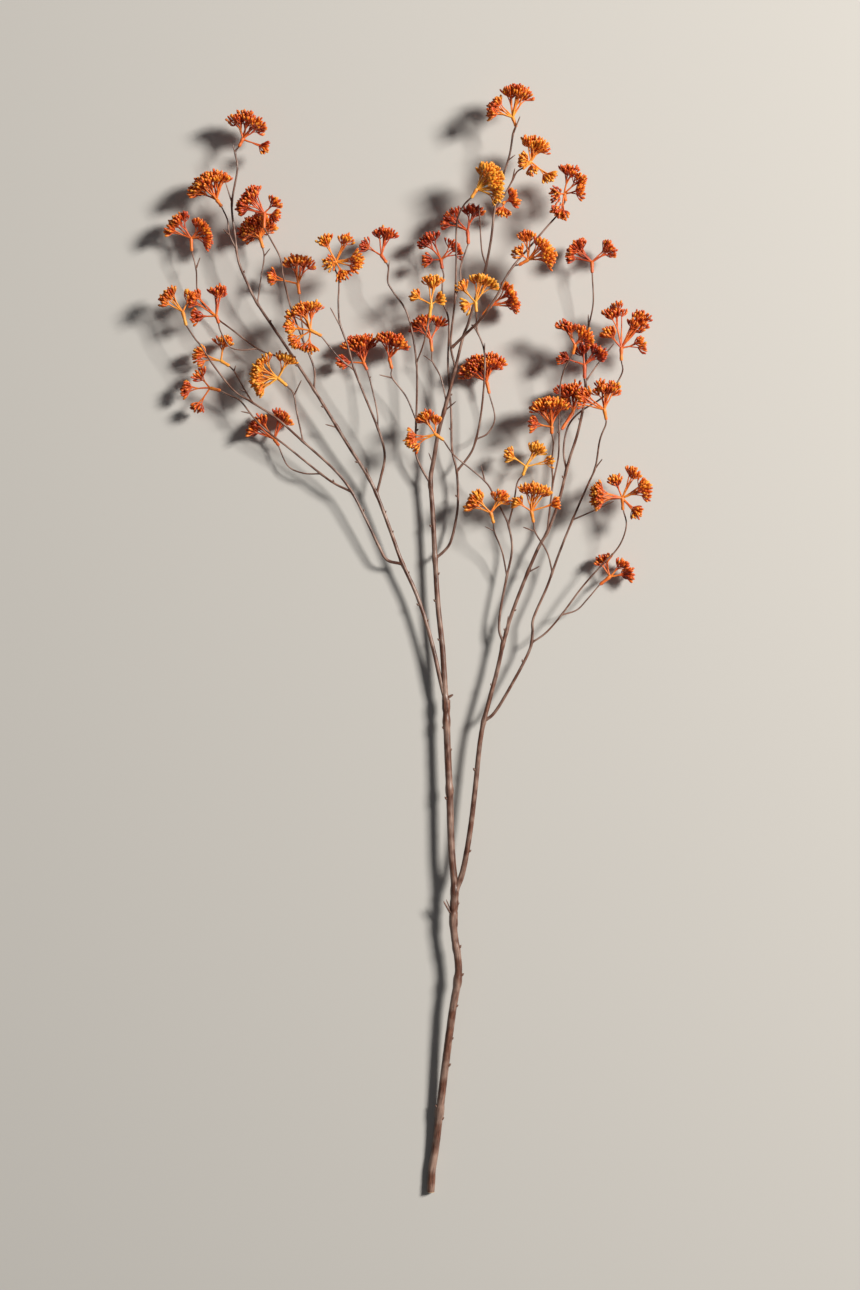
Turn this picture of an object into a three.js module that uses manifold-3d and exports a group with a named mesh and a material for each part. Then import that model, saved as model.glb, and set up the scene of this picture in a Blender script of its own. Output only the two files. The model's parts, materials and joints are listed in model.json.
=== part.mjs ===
// A cut sprig of orange berries, lying on its back on a surface.
// One branching woody stem carries 43 berry heads. Each head is an umbel: a short
// stalk that forks into rays, and the rays fork again into clubs that end in a berry.
// Millimetres, +Z up, +Y along the sprig towards its tips, +X to the right.

import * as THREE from "three";
import Module from "manifold-3d";

const wasm = await Module();
wasm.setup();

// Plan of the sprig. Every point of it is read off the picture taken from straight above,
// as [column, row, height]: the picture's column and row, and the height in mm.
const MM_PER_COLUMN = 1.0; // on the surface, so the sprig is 1.11 m long
const EYE = { column: 430, row: 645, height: 2400 }; // where the picture was taken from
const MIDDLE = { column: 409, row: 643.5 }; // the middle of the sprig's footprint

// The woody stem.
const STEM_RADIUS = 4.0;
const STEM_SIDES = 8;
const LIMB_SIDES = 5;
const TWIG_SIDES = 4;
const SPUR_SIDES = 3;
const TWIG_RADIUS = 0.7;
const STEM_FLAT = Math.cos(Math.PI / STEM_SIDES); // a facet's distance from the centre line
const FOOT = STEM_RADIUS * STEM_FLAT; // the foot lies on one facet
const FOOT_STEPS = 2; // for so many steps of its route the foot keeps its radius
const SPUR_TAPER = 0.1; // a spur is thicker at its root and thinner at its tip by this
const SIDES_ABOVE = [[2.5, STEM_SIDES], [1.3, LIMB_SIDES], [0.9, TWIG_SIDES], [0, SPUR_SIDES]];

// The berry heads.
const STALK_RADIUS = 1.3;
const FORK_RADIUS = 1.8; // the stalk swells where the rays start
const STALK_SIDES = 4;
const SINK = 1.2; // how far it reaches past the fork, to hold the rays' roots
const RAYS = 4;
const RAY_TURN = 0.35; // in radians, so that no ray hides another from above
const RAY_RADIUS = 0.9;
const RAY_SIDES = 3;
const PEDICEL_RADIUS = 0.55;
const BERRY_RADIUS = 1.7;
const BERRY_LENGTH = 5.0;
const BERRY_BELLY = 0.45; // share of the berry's length from its tip to its widest ring
const BERRY_SPACING = 2 * BERRY_RADIUS + 0.6;
const KNEE = 0.5; // share of the reach where a ray bends
const KNEE_TILT = 0.6; // how far it has turned from the axis there
const KNEE_LENGTH = 1.8; // and over what length its side pedicels grow from it
const INNER_TILT = 0.36; // tilt of the inner berries, as a share of the head's spread
const BERRY_RADII = [PEDICEL_RADIUS, BERRY_RADIUS, 0]; // at its neck, belly and tip
const RAY_RADII = [RAY_RADIUS, RAY_RADIUS, RAY_RADIUS, ...BERRY_RADII];
const PEDICEL_RADII = [PEDICEL_RADIUS, ...BERRY_RADII];
const HEAD_FLATNESS = 0.62; // a head is pressed flatter than it is wide
const CLEARANCE = 0.45; // between a head and anything beside it
const TILT_SHARES = [1, 0.88, 0.76]; // tilts that a berry tries, as shares of its own
const SWINGS = [0, 0.18, -0.18, 0.36, -0.36, 0.54, -0.54]; // and turns, in radians
const LENGTH_JITTER = 0.04; // chance part of a berry's reach
const RAY_JITTER = 0.15; // chance part of a ray's turn, in radians
const PEDICEL_JITTER = 0.1; // and of a side pedicel's

// A picture point as a place on the sprig.
function place([column, row, height]) {
  const nearer = 1 - height / EYE.height;
  return new THREE.Vector3(
    ((column - EYE.column) * nearer + EYE.column - MIDDLE.column) * MM_PER_COLUMN,
    ((EYE.row - row) * nearer + MIDDLE.row - EYE.row) * MM_PER_COLUMN,
    height,
  );
}

// The routes of the woody stem: [first radius, last radius, points]. A side limb starts
// on the centre line of the limb that it grows from.
const STEM = {
  main: [
    STEM_RADIUS, 3.4,
    [[430.5, 1192, FOOT], [431.3, 1180, FOOT], [432.1, 1168, FOOT], [435.5, 1147, 5.2],
      [441, 1100, 8.5], [447, 1052, 12], [453, 1008, 15.2], [457.6, 981, 16.6], [458.2, 962, 17],
      [453.5, 926, 17.5], [454.6, 888, 17.3], [451.5, 850, 16.7], [449.6, 794, 15.8],
      [447, 736, 15], [446, 700, 14.6]],
  ],
  main_upper: [
    3.1, 1.65,
    [[446.2, 706, 14.6], [444.6, 684, 14.4], [442.6, 650, 14], [437.8, 603, 13.5], [435, 558, 13],
      [432.4, 508, 13], [430.5, 480, 13.5], [434, 458, 15], [438.6, 432, 17.4], [447.7, 398, 20.5],
      [455.4, 368, 23]],
  ],
  centre_limb: [
    1.5, 0.9,
    [[454.6, 371, 23], [463.2, 336.5, 24], [468.5, 322.7, 24], [478, 290, 24], [484.5, 272.5, 25],
      [490.9, 240.5, 29], [495, 207, 32], [502.5, 177.7, 34], [509.5, 155.3, 36],
      [513, 134, 38], [515.3, 127.5, 38]],
  ],
  left_limb: [
    2.2, 0.8,
    [[446, 702, 14.6], [441.2, 683.8, 14.4], [431.3, 640.7, 14], [418, 598, 14], [402, 562.5, 14],
      [392.4, 536, 14.3], [377.4, 496, 15], [366.1, 473.2, 16], [350.7, 449.4, 17.5],
      [332, 418.8, 19], [313.9, 389.5, 20.5], [286.7, 347.4, 22], [258, 304.5, 24],
      [248.1, 285, 25], [238.5, 261.2, 26], [235, 235, 27.5], [231.8, 205, 29],
      [236.6, 175.3, 30], [237.5, 164.7, 30], [235.3, 152.5, 30], [239, 146.6, 30]],
  ],
  far_left_limb: [
    1.55, 0.75,
    [[402.5, 564, 14], [387.3, 560, 15], [379.3, 547.3, 16], [366, 519.3, 18], [351.5, 491.5, 20],
      [334.3, 469.8, 23], [302.6, 441.2, 26.5], [276.5, 418.3, 29], [252, 402.3, 30.5],
      [233.9, 390.5, 32], [214.7, 367, 33.5], [200.8, 345.7, 34], [195.5, 339.3, 34],
      [186.3, 325.6, 33]],
  ],
  low_left_limb: [
    1.2, 0.7,
    [[352, 492, 20], [334.3, 483.4, 19], [318.5, 472, 19], [289, 448.2, 23], [268.6, 432.4, 25],
      [255, 419.3, 25], [240.5, 401, 23.5], [230.7, 395.9, 22], [220.6, 391, 20.3]],
  ],
  inner_left_limb: [
    1.35, 0.75,
    [[376.5, 494, 15], [380.7, 477.7, 16.5], [384.7, 456.2, 18.5], [379.7, 433.5, 22.5],
      [363.8, 393.8, 32], [354.1, 369, 37], [347.9, 346.3, 40], [340, 323.6, 42],
      [338.3, 303, 42], [338.8, 280.5, 42], [333.9, 266.8, 42]],
  ],
  cross_left_limb: [
    0.95, 0.7,
    [[293, 358, 21.7], [274, 355.3, 21], [256.5, 348, 20], [231, 328.9, 15], [219, 320, 11.5],
      [205, 307, 10], [197.5, 292, 13], [196.2, 270, 21], [191.8, 251.4, 24]],
  ],
  upper_left_limb: [
    1.05, 0.75,
    [[314, 390, 20.5], [313.9, 367.8, 22], [302.6, 339, 24.5], [291.2, 308.8, 34],
      [283.3, 277, 45], [280.3, 258, 48], [271, 240, 48], [264.3, 228.4, 48]],
  ],
  centre_left_limb: [
    1.25, 0.75,
    [[430.6, 484, 13.4], [419.9, 465, 15], [415.4, 448, 17], [416.5, 412, 19.3],
      [416.4, 362, 23], [407.9, 315.4, 26], [393.3, 292, 29], [387.8, 281.6, 30],
      [388.5, 268, 31.5], [386.4, 262.6, 32]],
  ],
  second_limb: [
    1.45, 0.75,
    [[434.9, 558.5, 13], [443.2, 552, 12], [450.5, 542, 11.5], [456, 519.3, 11], [458, 500, 11],
      [456.7, 471, 13], [452, 449, 15], [451, 410, 17], [448, 365, 19], [448.8, 322, 24.5],
      [442.9, 301.3, 26], [442.4, 283, 26], [443.8, 275.7, 26], [442.3, 268.9, 26]],
  ],
  amber_limb: [
    1.1, 0.8,
    [[455, 367, 23], [450.7, 343, 26.5], [454.7, 302, 33], [456.2, 266, 36], [456.8, 224, 40],
      [463, 206.5, 45], [471, 197.8, 47.5]],
  ],
  arching_limb: [
    1.45, 0.8,
    [[452, 347.5, 26], [465.3, 334.4, 31], [482.4, 317.3, 41], [497.3, 295, 48], [504.8, 279, 49],
      [515, 264, 46], [533, 243, 38], [549.5, 224, 34], [558.5, 213.5, 34], [565.1, 201.3, 34]],
  ],
  side_limb: [
    1.2, 0.8,
    [[457, 471, 13], [469.8, 454.7, 16], [475.5, 441, 19], [481, 414, 25], [484.5, 376, 31],
      [484, 350, 32], [477, 331.5, 33], [471.5, 324.5, 34]],
  ],
  right_limb: [
    3.1, 2.0,
    [[454.8, 892, 17.3], [460.8, 878, 17.8], [464.8, 862, 18], [470.5, 828, 18], [475, 790, 18],
      [480.9, 736, 17], [488.6, 703, 16.5], [497.3, 670, 16], [503.3, 641.5, 15.5]],
  ],
  right_upper: [
    1.85, 1.15,
    [[502.8, 645, 15.5], [510, 619.3, 15.5], [520.7, 590, 15.5], [536.7, 551.3, 15.5],
      [548.5, 529.5, 16], [559.3, 499.3, 18], [568, 464, 20], [578.2, 431.2, 23],
      [584.5, 400, 25.5], [585.6, 384, 27], [584.6, 378.6, 27.5]],
  ],
  right_inner: [
    1.4, 1.0,
    [[503.3, 642, 15.5], [499.2, 630, 14.5], [500.5, 610, 14], [506.5, 578, 13.5],
      [511.4, 555, 14], [511.5, 540, 15], [507.3, 520.7, 16]],
  ],
  right_outer: [
    1.65, 0.75,
    [[483.6, 721, 17], [494.4, 712.8, 17], [509.9, 687.7, 17], [529.2, 651, 17], [532.5, 632, 17],
      [533.5, 618, 17], [547.3, 586, 17], [559.3, 552.7, 18], [572.7, 519.3, 20],
      [587.3, 486, 24], [595.4, 467, 27], [599.8, 440.3, 33], [605.7, 425, 37],
      [606.1, 420, 38]],
  ],
  low_right_limb: [
    1.0, 0.7,
    [[532, 642.5, 17], [546, 632.7, 17.5], [561, 615.5, 18], [582, 587.3, 19],
      [603.3, 563.3, 22], [615.3, 551.3, 25], [622.7, 539, 27], [626.4, 524, 29],
      [623.3, 510.2, 30]],
  ],
  to_head_2: [
    0.9, 0.7,
    [[236.6, 250, 26.5], [229.5, 234.5, 28], [227.5, 220, 29], [221.5, 206.7, 30]],
  ],
  to_head_5: [
    0.75, 0.7,
    [[257.5, 303, 24], [260.6, 280.5, 21], [264.1, 258, 20], [262.8, 248.4, 20]],
  ],
  to_head_6: [0.75, 0.7, [[303.2, 340.5, 24.4], [301.6, 318, 19.5], [299.5, 294.3, 20]]],
  to_head_9: [0.95, 0.7, [[354.4, 370, 36.7], [338.8, 357.6, 40], [321.6, 336.6, 44]]],
  to_head_11: [
    0.75, 0.7,
    [[257.5, 348.6, 20], [240, 350, 22], [228.5, 345.5, 24], [220.5, 331, 28], [218.5, 323.6, 30]],
  ],
  to_head_12: [
    0.95, 0.7,
    [[253, 403, 30.4], [245, 390.5, 27], [234.9, 372.4, 19], [229.4, 366.1, 16.5]],
  ],
  to_head_14: [
    0.85, 0.7,
    [[303.2, 441.8, 26.4], [296.5, 411, 28], [293.6, 394, 29], [287, 386, 29]],
  ],
  to_head_15: [
    0.8, 0.7,
    [[321, 473.8, 19.2], [303.7, 473.2, 15], [288, 466, 12], [278.5, 446, 12]],
  ],
  to_head_16: [
    0.8, 0.7,
    [[377.8, 428, 23.8], [377, 411, 21], [370.6, 382.5, 18], [367, 369.9, 17]],
  ],
  to_head_17: [
    0.85, 0.7,
    [[416.5, 421, 18.8], [406.3, 397, 21], [392.3, 377.8, 23], [391.7, 369, 23.5]],
  ],
  to_head_19: [
    0.85, 0.75,
    [[495, 208, 32], [502.5, 198, 34], [511.6, 182, 37], [517, 171.8, 39], [523.4, 167.7, 40]],
  ],
  to_head_22: [0.7, 0.7, [[494.9, 208.5, 32], [499, 206.5, 27], [502.2, 204.2, 24]]],
  to_head_23: [
    0.85, 0.75,
    [[455, 299, 33.3], [460.3, 281, 29.5], [460.8, 266, 28], [468.2, 244.2, 26]],
  ],
  to_head_25: [
    0.8, 0.75,
    [[416.4, 363, 23], [422.8, 346, 29.5], [425.9, 334, 34.5], [428.9, 318, 37.5]],
  ],
  to_head_26: [0.85, 0.75, [[477.5, 332.5, 33], [476.5, 325, 34.5], [476.3, 312, 37.5]]],
  to_head_27: [0.75, 0.7, [[476.6, 326.5, 34.2], [479.5, 318.5, 30], [482.5, 315.1, 27.5]]],
  to_head_28: [
    0.85, 0.7,
    [[446.5, 402.5, 20], [441, 378, 19.5], [432.3, 361, 20], [431.9, 351.8, 21]],
  ],
  to_head_29: [0.8, 0.75, [[514, 265.5, 46.3], [518.6, 264.9, 46.5]]],
  to_head_30: [
    0.85, 0.7,
    [[476, 439.3, 19.4], [488, 433, 17], [494.8, 417.5, 15.5], [489.2, 393.8, 15]],
  ],
  to_head_31: [
    0.95, 0.7,
    [[507.6, 522, 16], [493.6, 494.4, 21], [483.4, 479.7, 25], [455, 455.9, 32],
      [443.4, 440.3, 37.5]],
  ],
  to_head_32: [
    1.0, 0.7,
    [[585.5, 386, 26.8], [586, 368, 19], [586.1, 347, 14], [588.4, 327.7, 17.5],
      [593.2, 303, 21.5], [592.2, 272.9, 26]],
  ],
  to_head_33: [
    1.05, 0.75,
    [[566.5, 471, 19.5], [563.6, 450, 15.5], [568, 426.7, 12], [580, 412, 12.5],
      [599, 400, 20], [613.4, 387.8, 28], [622.4, 372, 31.5], [621.4, 361, 32]],
  ],
  to_head_35: [
    0.95, 0.7,
    [[552.6, 484, 19], [558.4, 456.2, 22], [559.2, 425, 25], [559.8, 391, 28.5],
      [563.5, 371.5, 34], [572, 355, 41]],
  ],
  to_head_36: [
    1.05, 0.75,
    [[547.2, 532.5, 16], [550, 507.3, 17.5], [552.6, 483.4, 19], [551.8, 462, 24],
      [553.4, 444, 31], [551.8, 434, 35]],
  ],
  to_head_38: [0.75, 0.7, [[559.2, 430, 24.7], [561.6, 428.9, 24]]],
  to_head_39: [
    0.95, 0.7,
    [[508.2, 525, 15.8], [513.6, 503.8, 18], [517.2, 483, 21.5], [522.6, 475.5, 24]],
  ],
  to_head_40: [
    0.85, 0.7,
    [[507, 577, 13.5], [502.2, 552, 20], [494.5, 532.5, 29], [493.4, 523.3, 31.5]],
  ],
  to_head_41: [
    0.85, 0.7,
    [[552.5, 573.5, 17.2], [547.3, 552.7, 22], [535.6, 533, 31], [533.5, 522.7, 33.6]],
  ],
  to_head_43: [
    0.8, 0.7,
    [[561.5, 615, 18], [576.7, 610, 15.5], [587.3, 599.3, 14], [599.5, 584.9, 14]],
  ],
};

// Bare side twigs and spurs, as [first point, last point] or with points between.
const SPURS = [
  [[235.3, 154, 30], [232.7, 144.4, 32]],
  [[232, 203, 29], [225.7, 182.8, 33]],
  [[230.2, 236, 27.9], [223.4, 229.5, 30]],
  [[196.3, 268, 21.5], [200, 257.6, 24]],
  [[340.8, 327, 41.8], [330.3, 307.7, 46]],
  [[392.4, 378, 23], [379.3, 374.8, 25]],
  [[293.8, 396, 28.8], [301.4, 380.2, 32]],
  [[337, 427.4, 18.3], [325.4, 424.4, 21]],
  [[369, 478, 15.7], [366, 467, 19]],
  [[513, 134.5, 38], [520, 116.5, 42]],
  [[512.5, 180, 37.3], [514.8, 168.5, 41]],
  [[486.2, 265.5, 26], [481.9, 251, 30], [479.8, 221, 36], [479, 204, 38]],
  [[444.5, 411, 19], [456, 401.4, 24]],
  [[484.8, 481, 24.5], [481, 465.5, 28]],
  [[588.3, 329, 17.3], [588.3, 314.5, 19]],
  [[586, 381, 26], [600.3, 360.6, 15], [614, 343.6, 12]],
  [[594.8, 469, 26.6], [602.3, 459, 29]],
  [[534.9, 531.5, 31.6], [523, 527, 33]],
  [[528.5, 572, 15.5], [539.5, 566.3, 19]],
  [[506, 632.5, 15.5], [508.4, 616, 19]],
  [[572.5, 520, 20], [596.4, 509.5, 29], [614, 501, 37]],
  [[453.6, 917, 17.5], [446.2, 899.5, 19.5]],
];

// The berry heads: [stalk's foot, fork, middle of the crown, spread in degrees, colour].
const HEADS = {
  1: [[239.5, 145.5, 30], [242.8, 139, 30], [256, 112, 31], 84, "rust"],
  2: [[221, 205.7, 30], [216.7, 199.9, 30], [201.5, 169.8, 31], 64, "rust"],
  3: [[191.6, 250, 24], [191, 238.3, 24], [193.5, 209.5, 24], 86, "rust"],
  4: [[264, 226.8, 48], [264.4, 213.5, 47], [257, 186, 46], 78, "rust"],
  5: [[262.7, 247, 20], [260, 238, 19], [250, 212, 18], 82, "amber"],
  6: [[299.2, 293, 20], [298, 283.9, 20], [286, 256, 19], 72, "rust"],
  7: [[334.5, 265.3, 42], [336, 261.5, 43], [339, 248, 64], 82, "amber"],
  8: [[385.9, 261.8, 32], [381.4, 255.6, 32], [372.5, 225.5, 32], 62, "rust"],
  9: [[320.7, 335.5, 44], [310.5, 330.4, 45], [282, 333, 44], 86, "amber"],
  10: [[185.9, 324.4, 33], [182.7, 312.1, 33], [172, 286, 33], 62, "amber"],
  11: [[218.4, 322.3, 30], [216.2, 315.9, 30], [198, 290, 30], 66, "rust"],
  12: [[228.5, 365.5, 16], [221, 361, 16], [199.5, 344, 16], 68, "rust"],
  13: [[219.5, 390.5, 20], [210, 388, 19], [181, 383.5, 17], 84, "rust"],
  14: [[286.1, 385.2, 29], [278.1, 378.3, 29], [253, 368.5, 29], 80, "amber"],
  15: [[278.2, 444.8, 12], [274.2, 439.2, 12], [261.5, 412, 11], 70, "rust"],
  16: [[366.6, 368.9, 17], [363.8, 363.3, 17], [346.5, 339, 16], 66, "rust"],
  17: [[391.6, 367.8, 23.7], [389.3, 358.7, 24], [390, 329.5, 24], 64, "rust"],
  18: [[515.9, 126, 38], [512.7, 117.5, 38], [497.5, 87.5, 40], 66, "amber"],
  19: [[524.4, 167.1, 40], [530.8, 161.7, 40], [548, 139, 42], 86, "amber"],
  20: [[565.5, 200.1, 34], [564.4, 193.7, 35], [568, 179, 58], 80, "rust"],
  21: [[471.9, 196.9, 48], [476.7, 189.5, 48], [500, 169.5, 54], 74, "amber"],
  22: [[503, 203.6, 23.5], [506, 201.5, 22], [525, 206, 20], 76, "rust"],
  23: [[468.3, 242.7, 26], [467.5, 230.9, 25], [459.5, 203, 24], 78, "rust"],
  24: [[442.2, 267.7, 26], [440.8, 259.7, 25], [441, 232, 22], 86, "rust"],
  25: [[429.5, 316.5, 38], [431.2, 304.5, 39], [436, 277, 38], 80, "amber"],
  26: [[476.3, 310.6, 38], [475.5, 302.4, 38], [478, 271.5, 36], 68, "amber"],
  27: [[483.4, 314.4, 27], [491, 305.2, 26], [517, 294, 24], 58, "rust"],
  28: [[431.9, 350.4, 21], [430.7, 339.7, 21], [424, 312.5, 19], 62, "rust"],
  29: [[519.8, 264.5, 46.5], [528.3, 259.7, 47], [544, 243, 60], 74, "amber"],
  30: [[489, 392.4, 15], [486.8, 382.1, 15], [476, 353, 14], 68, "rust"],
  31: [[442.6, 439.4, 38], [435.2, 434.3, 39], [409.8, 416.5, 39], 74, "rust"],
  32: [[592.1, 271.6, 26], [591.8, 262, 25], [591.5, 233, 24], 84, "rust"],
  33: [[621.3, 359.5, 32], [621.3, 348.1, 32], [633, 308, 32], 70, "rust"],
  34: [[584.5, 377.4, 28], [584.5, 365.1, 28], [582, 337, 27], 72, "rust"],
  35: [[573, 353.2, 42], [575, 345, 43], [577, 321.5, 45], 72, "rust"],
  36: [[551.7, 432.6, 36], [551.6, 426.7, 37], [542.5, 397, 38], 70, "rust"],
  37: [[606, 418.6, 38.5], [604.3, 409.7, 40], [590, 379, 42], 70, "rust"],
  38: [[562.4, 428.4, 24], [573, 412.5, 21], [571, 384.5, 17], 62, "rust"],
  39: [[523.2, 474.3, 24], [526, 466.4, 24], [529.5, 437.6, 24], 76, "amber"],
  40: [[493.3, 522, 32], [490.7, 512.7, 33], [486.5, 486, 33], 76, "amber"],
  41: [[533.3, 521.3, 34], [531.3, 511.3, 35], [532.5, 482.3, 36], 76, "rust"],
  42: [[622.9, 508.9, 30], [622.4, 498.1, 31], [624.5, 473, 54], 82, "rust"],
  43: [[600.7, 584, 14], [610, 576.7, 14], [627.4, 556, 14], 82, "rust"],
};

// A seeded draw between -1 and 1, the same on every run. Each number is the one before it
// times a factor, and what is left over from whole multiples of a large prime is kept.
const SEED = 100;
const FACTOR = 48271;
const PRIME = 2147483647;
const FIRST_FACTOR = 7919;
const FIRST_OFFSET = 17;

function seeded(seed) {
  let state = seed * FIRST_FACTOR + FIRST_OFFSET;
  return () => {
    state = (state * FACTOR) % PRIME;
    return (state / PRIME) * 2 - 1;
  };
}

// A closed rod along a line of points, with a radius at each: a radius of 0 ends in a point.
// Its first face looks towards the given side.
function rod(points, radii, sides, towards) {
  const vertices = [];
  const rings = [];
  const normal = towards.clone();
  points.forEach((point, i) => {
    const before = points[Math.max(i - 1, 0)];
    const after = points[Math.min(i + 1, points.length - 1)];
    const tangent = after.clone().sub(before).normalize();
    normal.addScaledVector(tangent, -normal.dot(tangent)).normalize();
    const other = new THREE.Vector3().crossVectors(tangent, normal);
    const ring = [];
    for (let k = 0; k < (radii[i] > 0 ? sides : 1); k++) {
      const angle = ((k + 0.5) / sides) * 2 * Math.PI;
      ring.push(vertices.length);
      vertices.push(
        point.clone()
          .addScaledVector(normal, Math.cos(angle) * radii[i])
          .addScaledVector(other, Math.sin(angle) * radii[i]),
      );
    }
    rings.push(ring);
  });
  const faces = [];
  for (let i = 1; i < rings.length; i++) faces.push(...band(rings[i - 1], rings[i]));
  faces.push(...lid(rings[0]).map((face) => face.reverse()), ...lid(rings.at(-1)));
  return { vertices, rings, faces };
}

// The faces between two rings of a rod, or between its last ring and its point.
function band(near, far) {
  const faces = [];
  near.forEach((corner, k) => {
    const next = (k + 1) % near.length;
    if (far.length === 1) {
      faces.push([corner, near[next], far[0]]);
    } else {
      faces.push([corner, near[next], far[next]], [corner, far[next], far[k]]);
    }
  });
  return faces;
}

// The flat end of a rod.
function lid(ring) {
  return ring.slice(2).map((corner, k) => [ring[0], ring[k + 1], corner]);
}

// Grows a side shoot out of a rod, from the face after the given ring that looks most its way.
function sprout(mesh, ringNumber, points, radii) {
  const beside = [...mesh.rings[ringNumber], ...mesh.rings[ringNumber + 1]];
  const towards = points[0].clone().sub(centreOf(mesh, beside)).normalize();
  let best = null;
  let bestFacing = 0;
  for (const face of mesh.faces) {
    if (!face.every((corner) => beside.includes(corner))) continue;
    const [a, b, c] = face.map((corner) => mesh.vertices[corner]);
    const facing = b.clone().sub(a).cross(c.clone().sub(a)).normalize().dot(towards);
    if (facing > bestFacing) [best, bestFacing] = [face, facing];
  }
  mesh.faces.splice(mesh.faces.indexOf(best), 1);
  let loop = best;
  points.forEach((point, i) => {
    const from = i === 0 ? centreOf(mesh, best) : points[i - 1];
    const along = point.clone().sub(from).normalize();
    const across = mesh.vertices[best[0]].clone().sub(centreOf(mesh, best));
    across.addScaledVector(along, -across.dot(along)).normalize();
    const other = new THREE.Vector3().crossVectors(along, across);
    const ring = [];
    for (let k = 0; k < (radii[i] > 0 ? best.length : 1); k++) {
      const angle = (k / best.length) * 2 * Math.PI;
      ring.push(mesh.vertices.length);
      mesh.vertices.push(
        point.clone()
          .addScaledVector(across, Math.cos(angle) * radii[i])
          .addScaledVector(other, Math.sin(angle) * radii[i]),
      );
    }
    mesh.faces.push(...band(loop, ring));
    loop = ring;
  });
}

function centreOf(mesh, corners) {
  const sum = new THREE.Vector3();
  for (const corner of corners) sum.add(mesh.vertices[corner]);
  return sum.divideScalar(corners.length);
}

function solidOf({ vertices, faces }) {
  return new wasm.Manifold(
    new wasm.Mesh({
      numProp: 3,
      vertProperties: new Float32Array(vertices.flatMap((vertex) => vertex.toArray())),
      triVerts: new Uint32Array(faces.flat()),
    }),
  );
}

// Several overlapping solids joined into one.
const fuse = (solids) => solids.reduce((joined, solid) => joined.add(solid));

const DOWN = new THREE.Vector3(0, 0, -1);

// Straight pieces of what is already built, which later heads keep clear of.
const taken = [];

function take(points, radii) {
  for (let i = 1; i < points.length; i++) {
    taken.push({ a: points[i - 1], b: points[i], radius: Math.max(radii[i - 1], radii[i]) });
  }
}

const PARALLEL = 1e-9; // two lines with less between their directions count as parallel

// The shortest distance between the lines a-b and c-d.
function distance(a, b, c, d) {
  const u = b.clone().sub(a);
  const v = d.clone().sub(c);
  const w = a.clone().sub(c);
  const [uu, uv, vv, uw, vw] = [u.dot(u), u.dot(v), v.dot(v), u.dot(w), v.dot(w)];
  const limit = (x) => Math.min(1, Math.max(0, x));
  const across = uu * vv - uv * uv;
  let s = across > PARALLEL ? limit((uv * vw - vv * uw) / across) : 0;
  const t = limit((uv * s + vw) / vv);
  s = limit((uv * t - uw) / uu);
  return w.addScaledVector(u, s).addScaledVector(v, -t).length();
}

function isClear(points, radii, others) {
  for (let i = 1; i < points.length; i++) {
    const radius = Math.max(radii[i - 1], radii[i]) + CLEARANCE;
    for (const other of others) {
      const room = radius + other.radius;
      if (distance(points[i - 1], points[i], other.a, other.b) < room) return false;
    }
  }
  return true;
}

// A thin twig needs fewer sides than a limb.
const sidesFor = (radius) => SIDES_ABOVE.find(([limit]) => radius > limit)[1];

// The woody stem: every limb, twig and spur, joined where they grow from each other.
function woodyStem() {
  const pieces = [];
  // A limb that tapers evenly, after the steps for which it keeps its first radius.
  const limb = (first, last, line, steady = 0) => {
    const points = line.map(place);
    const tapering = points.length - 1 - steady;
    const radii = points.map((_, i) => first + ((last - first) * Math.max(0, i - steady)) / tapering);
    pieces.push(rod(points, radii, sidesFor(first), DOWN));
    take(points, radii);
  };
  for (const [name, [first, last, line]] of Object.entries(STEM)) {
    limb(first, last, line, name === "main" ? FOOT_STEPS : 0);
  }
  for (const line of SPURS) limb(TWIG_RADIUS + SPUR_TAPER, TWIG_RADIUS - SPUR_TAPER, line);
  return fuse(pieces.map(solidOf));
}

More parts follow.
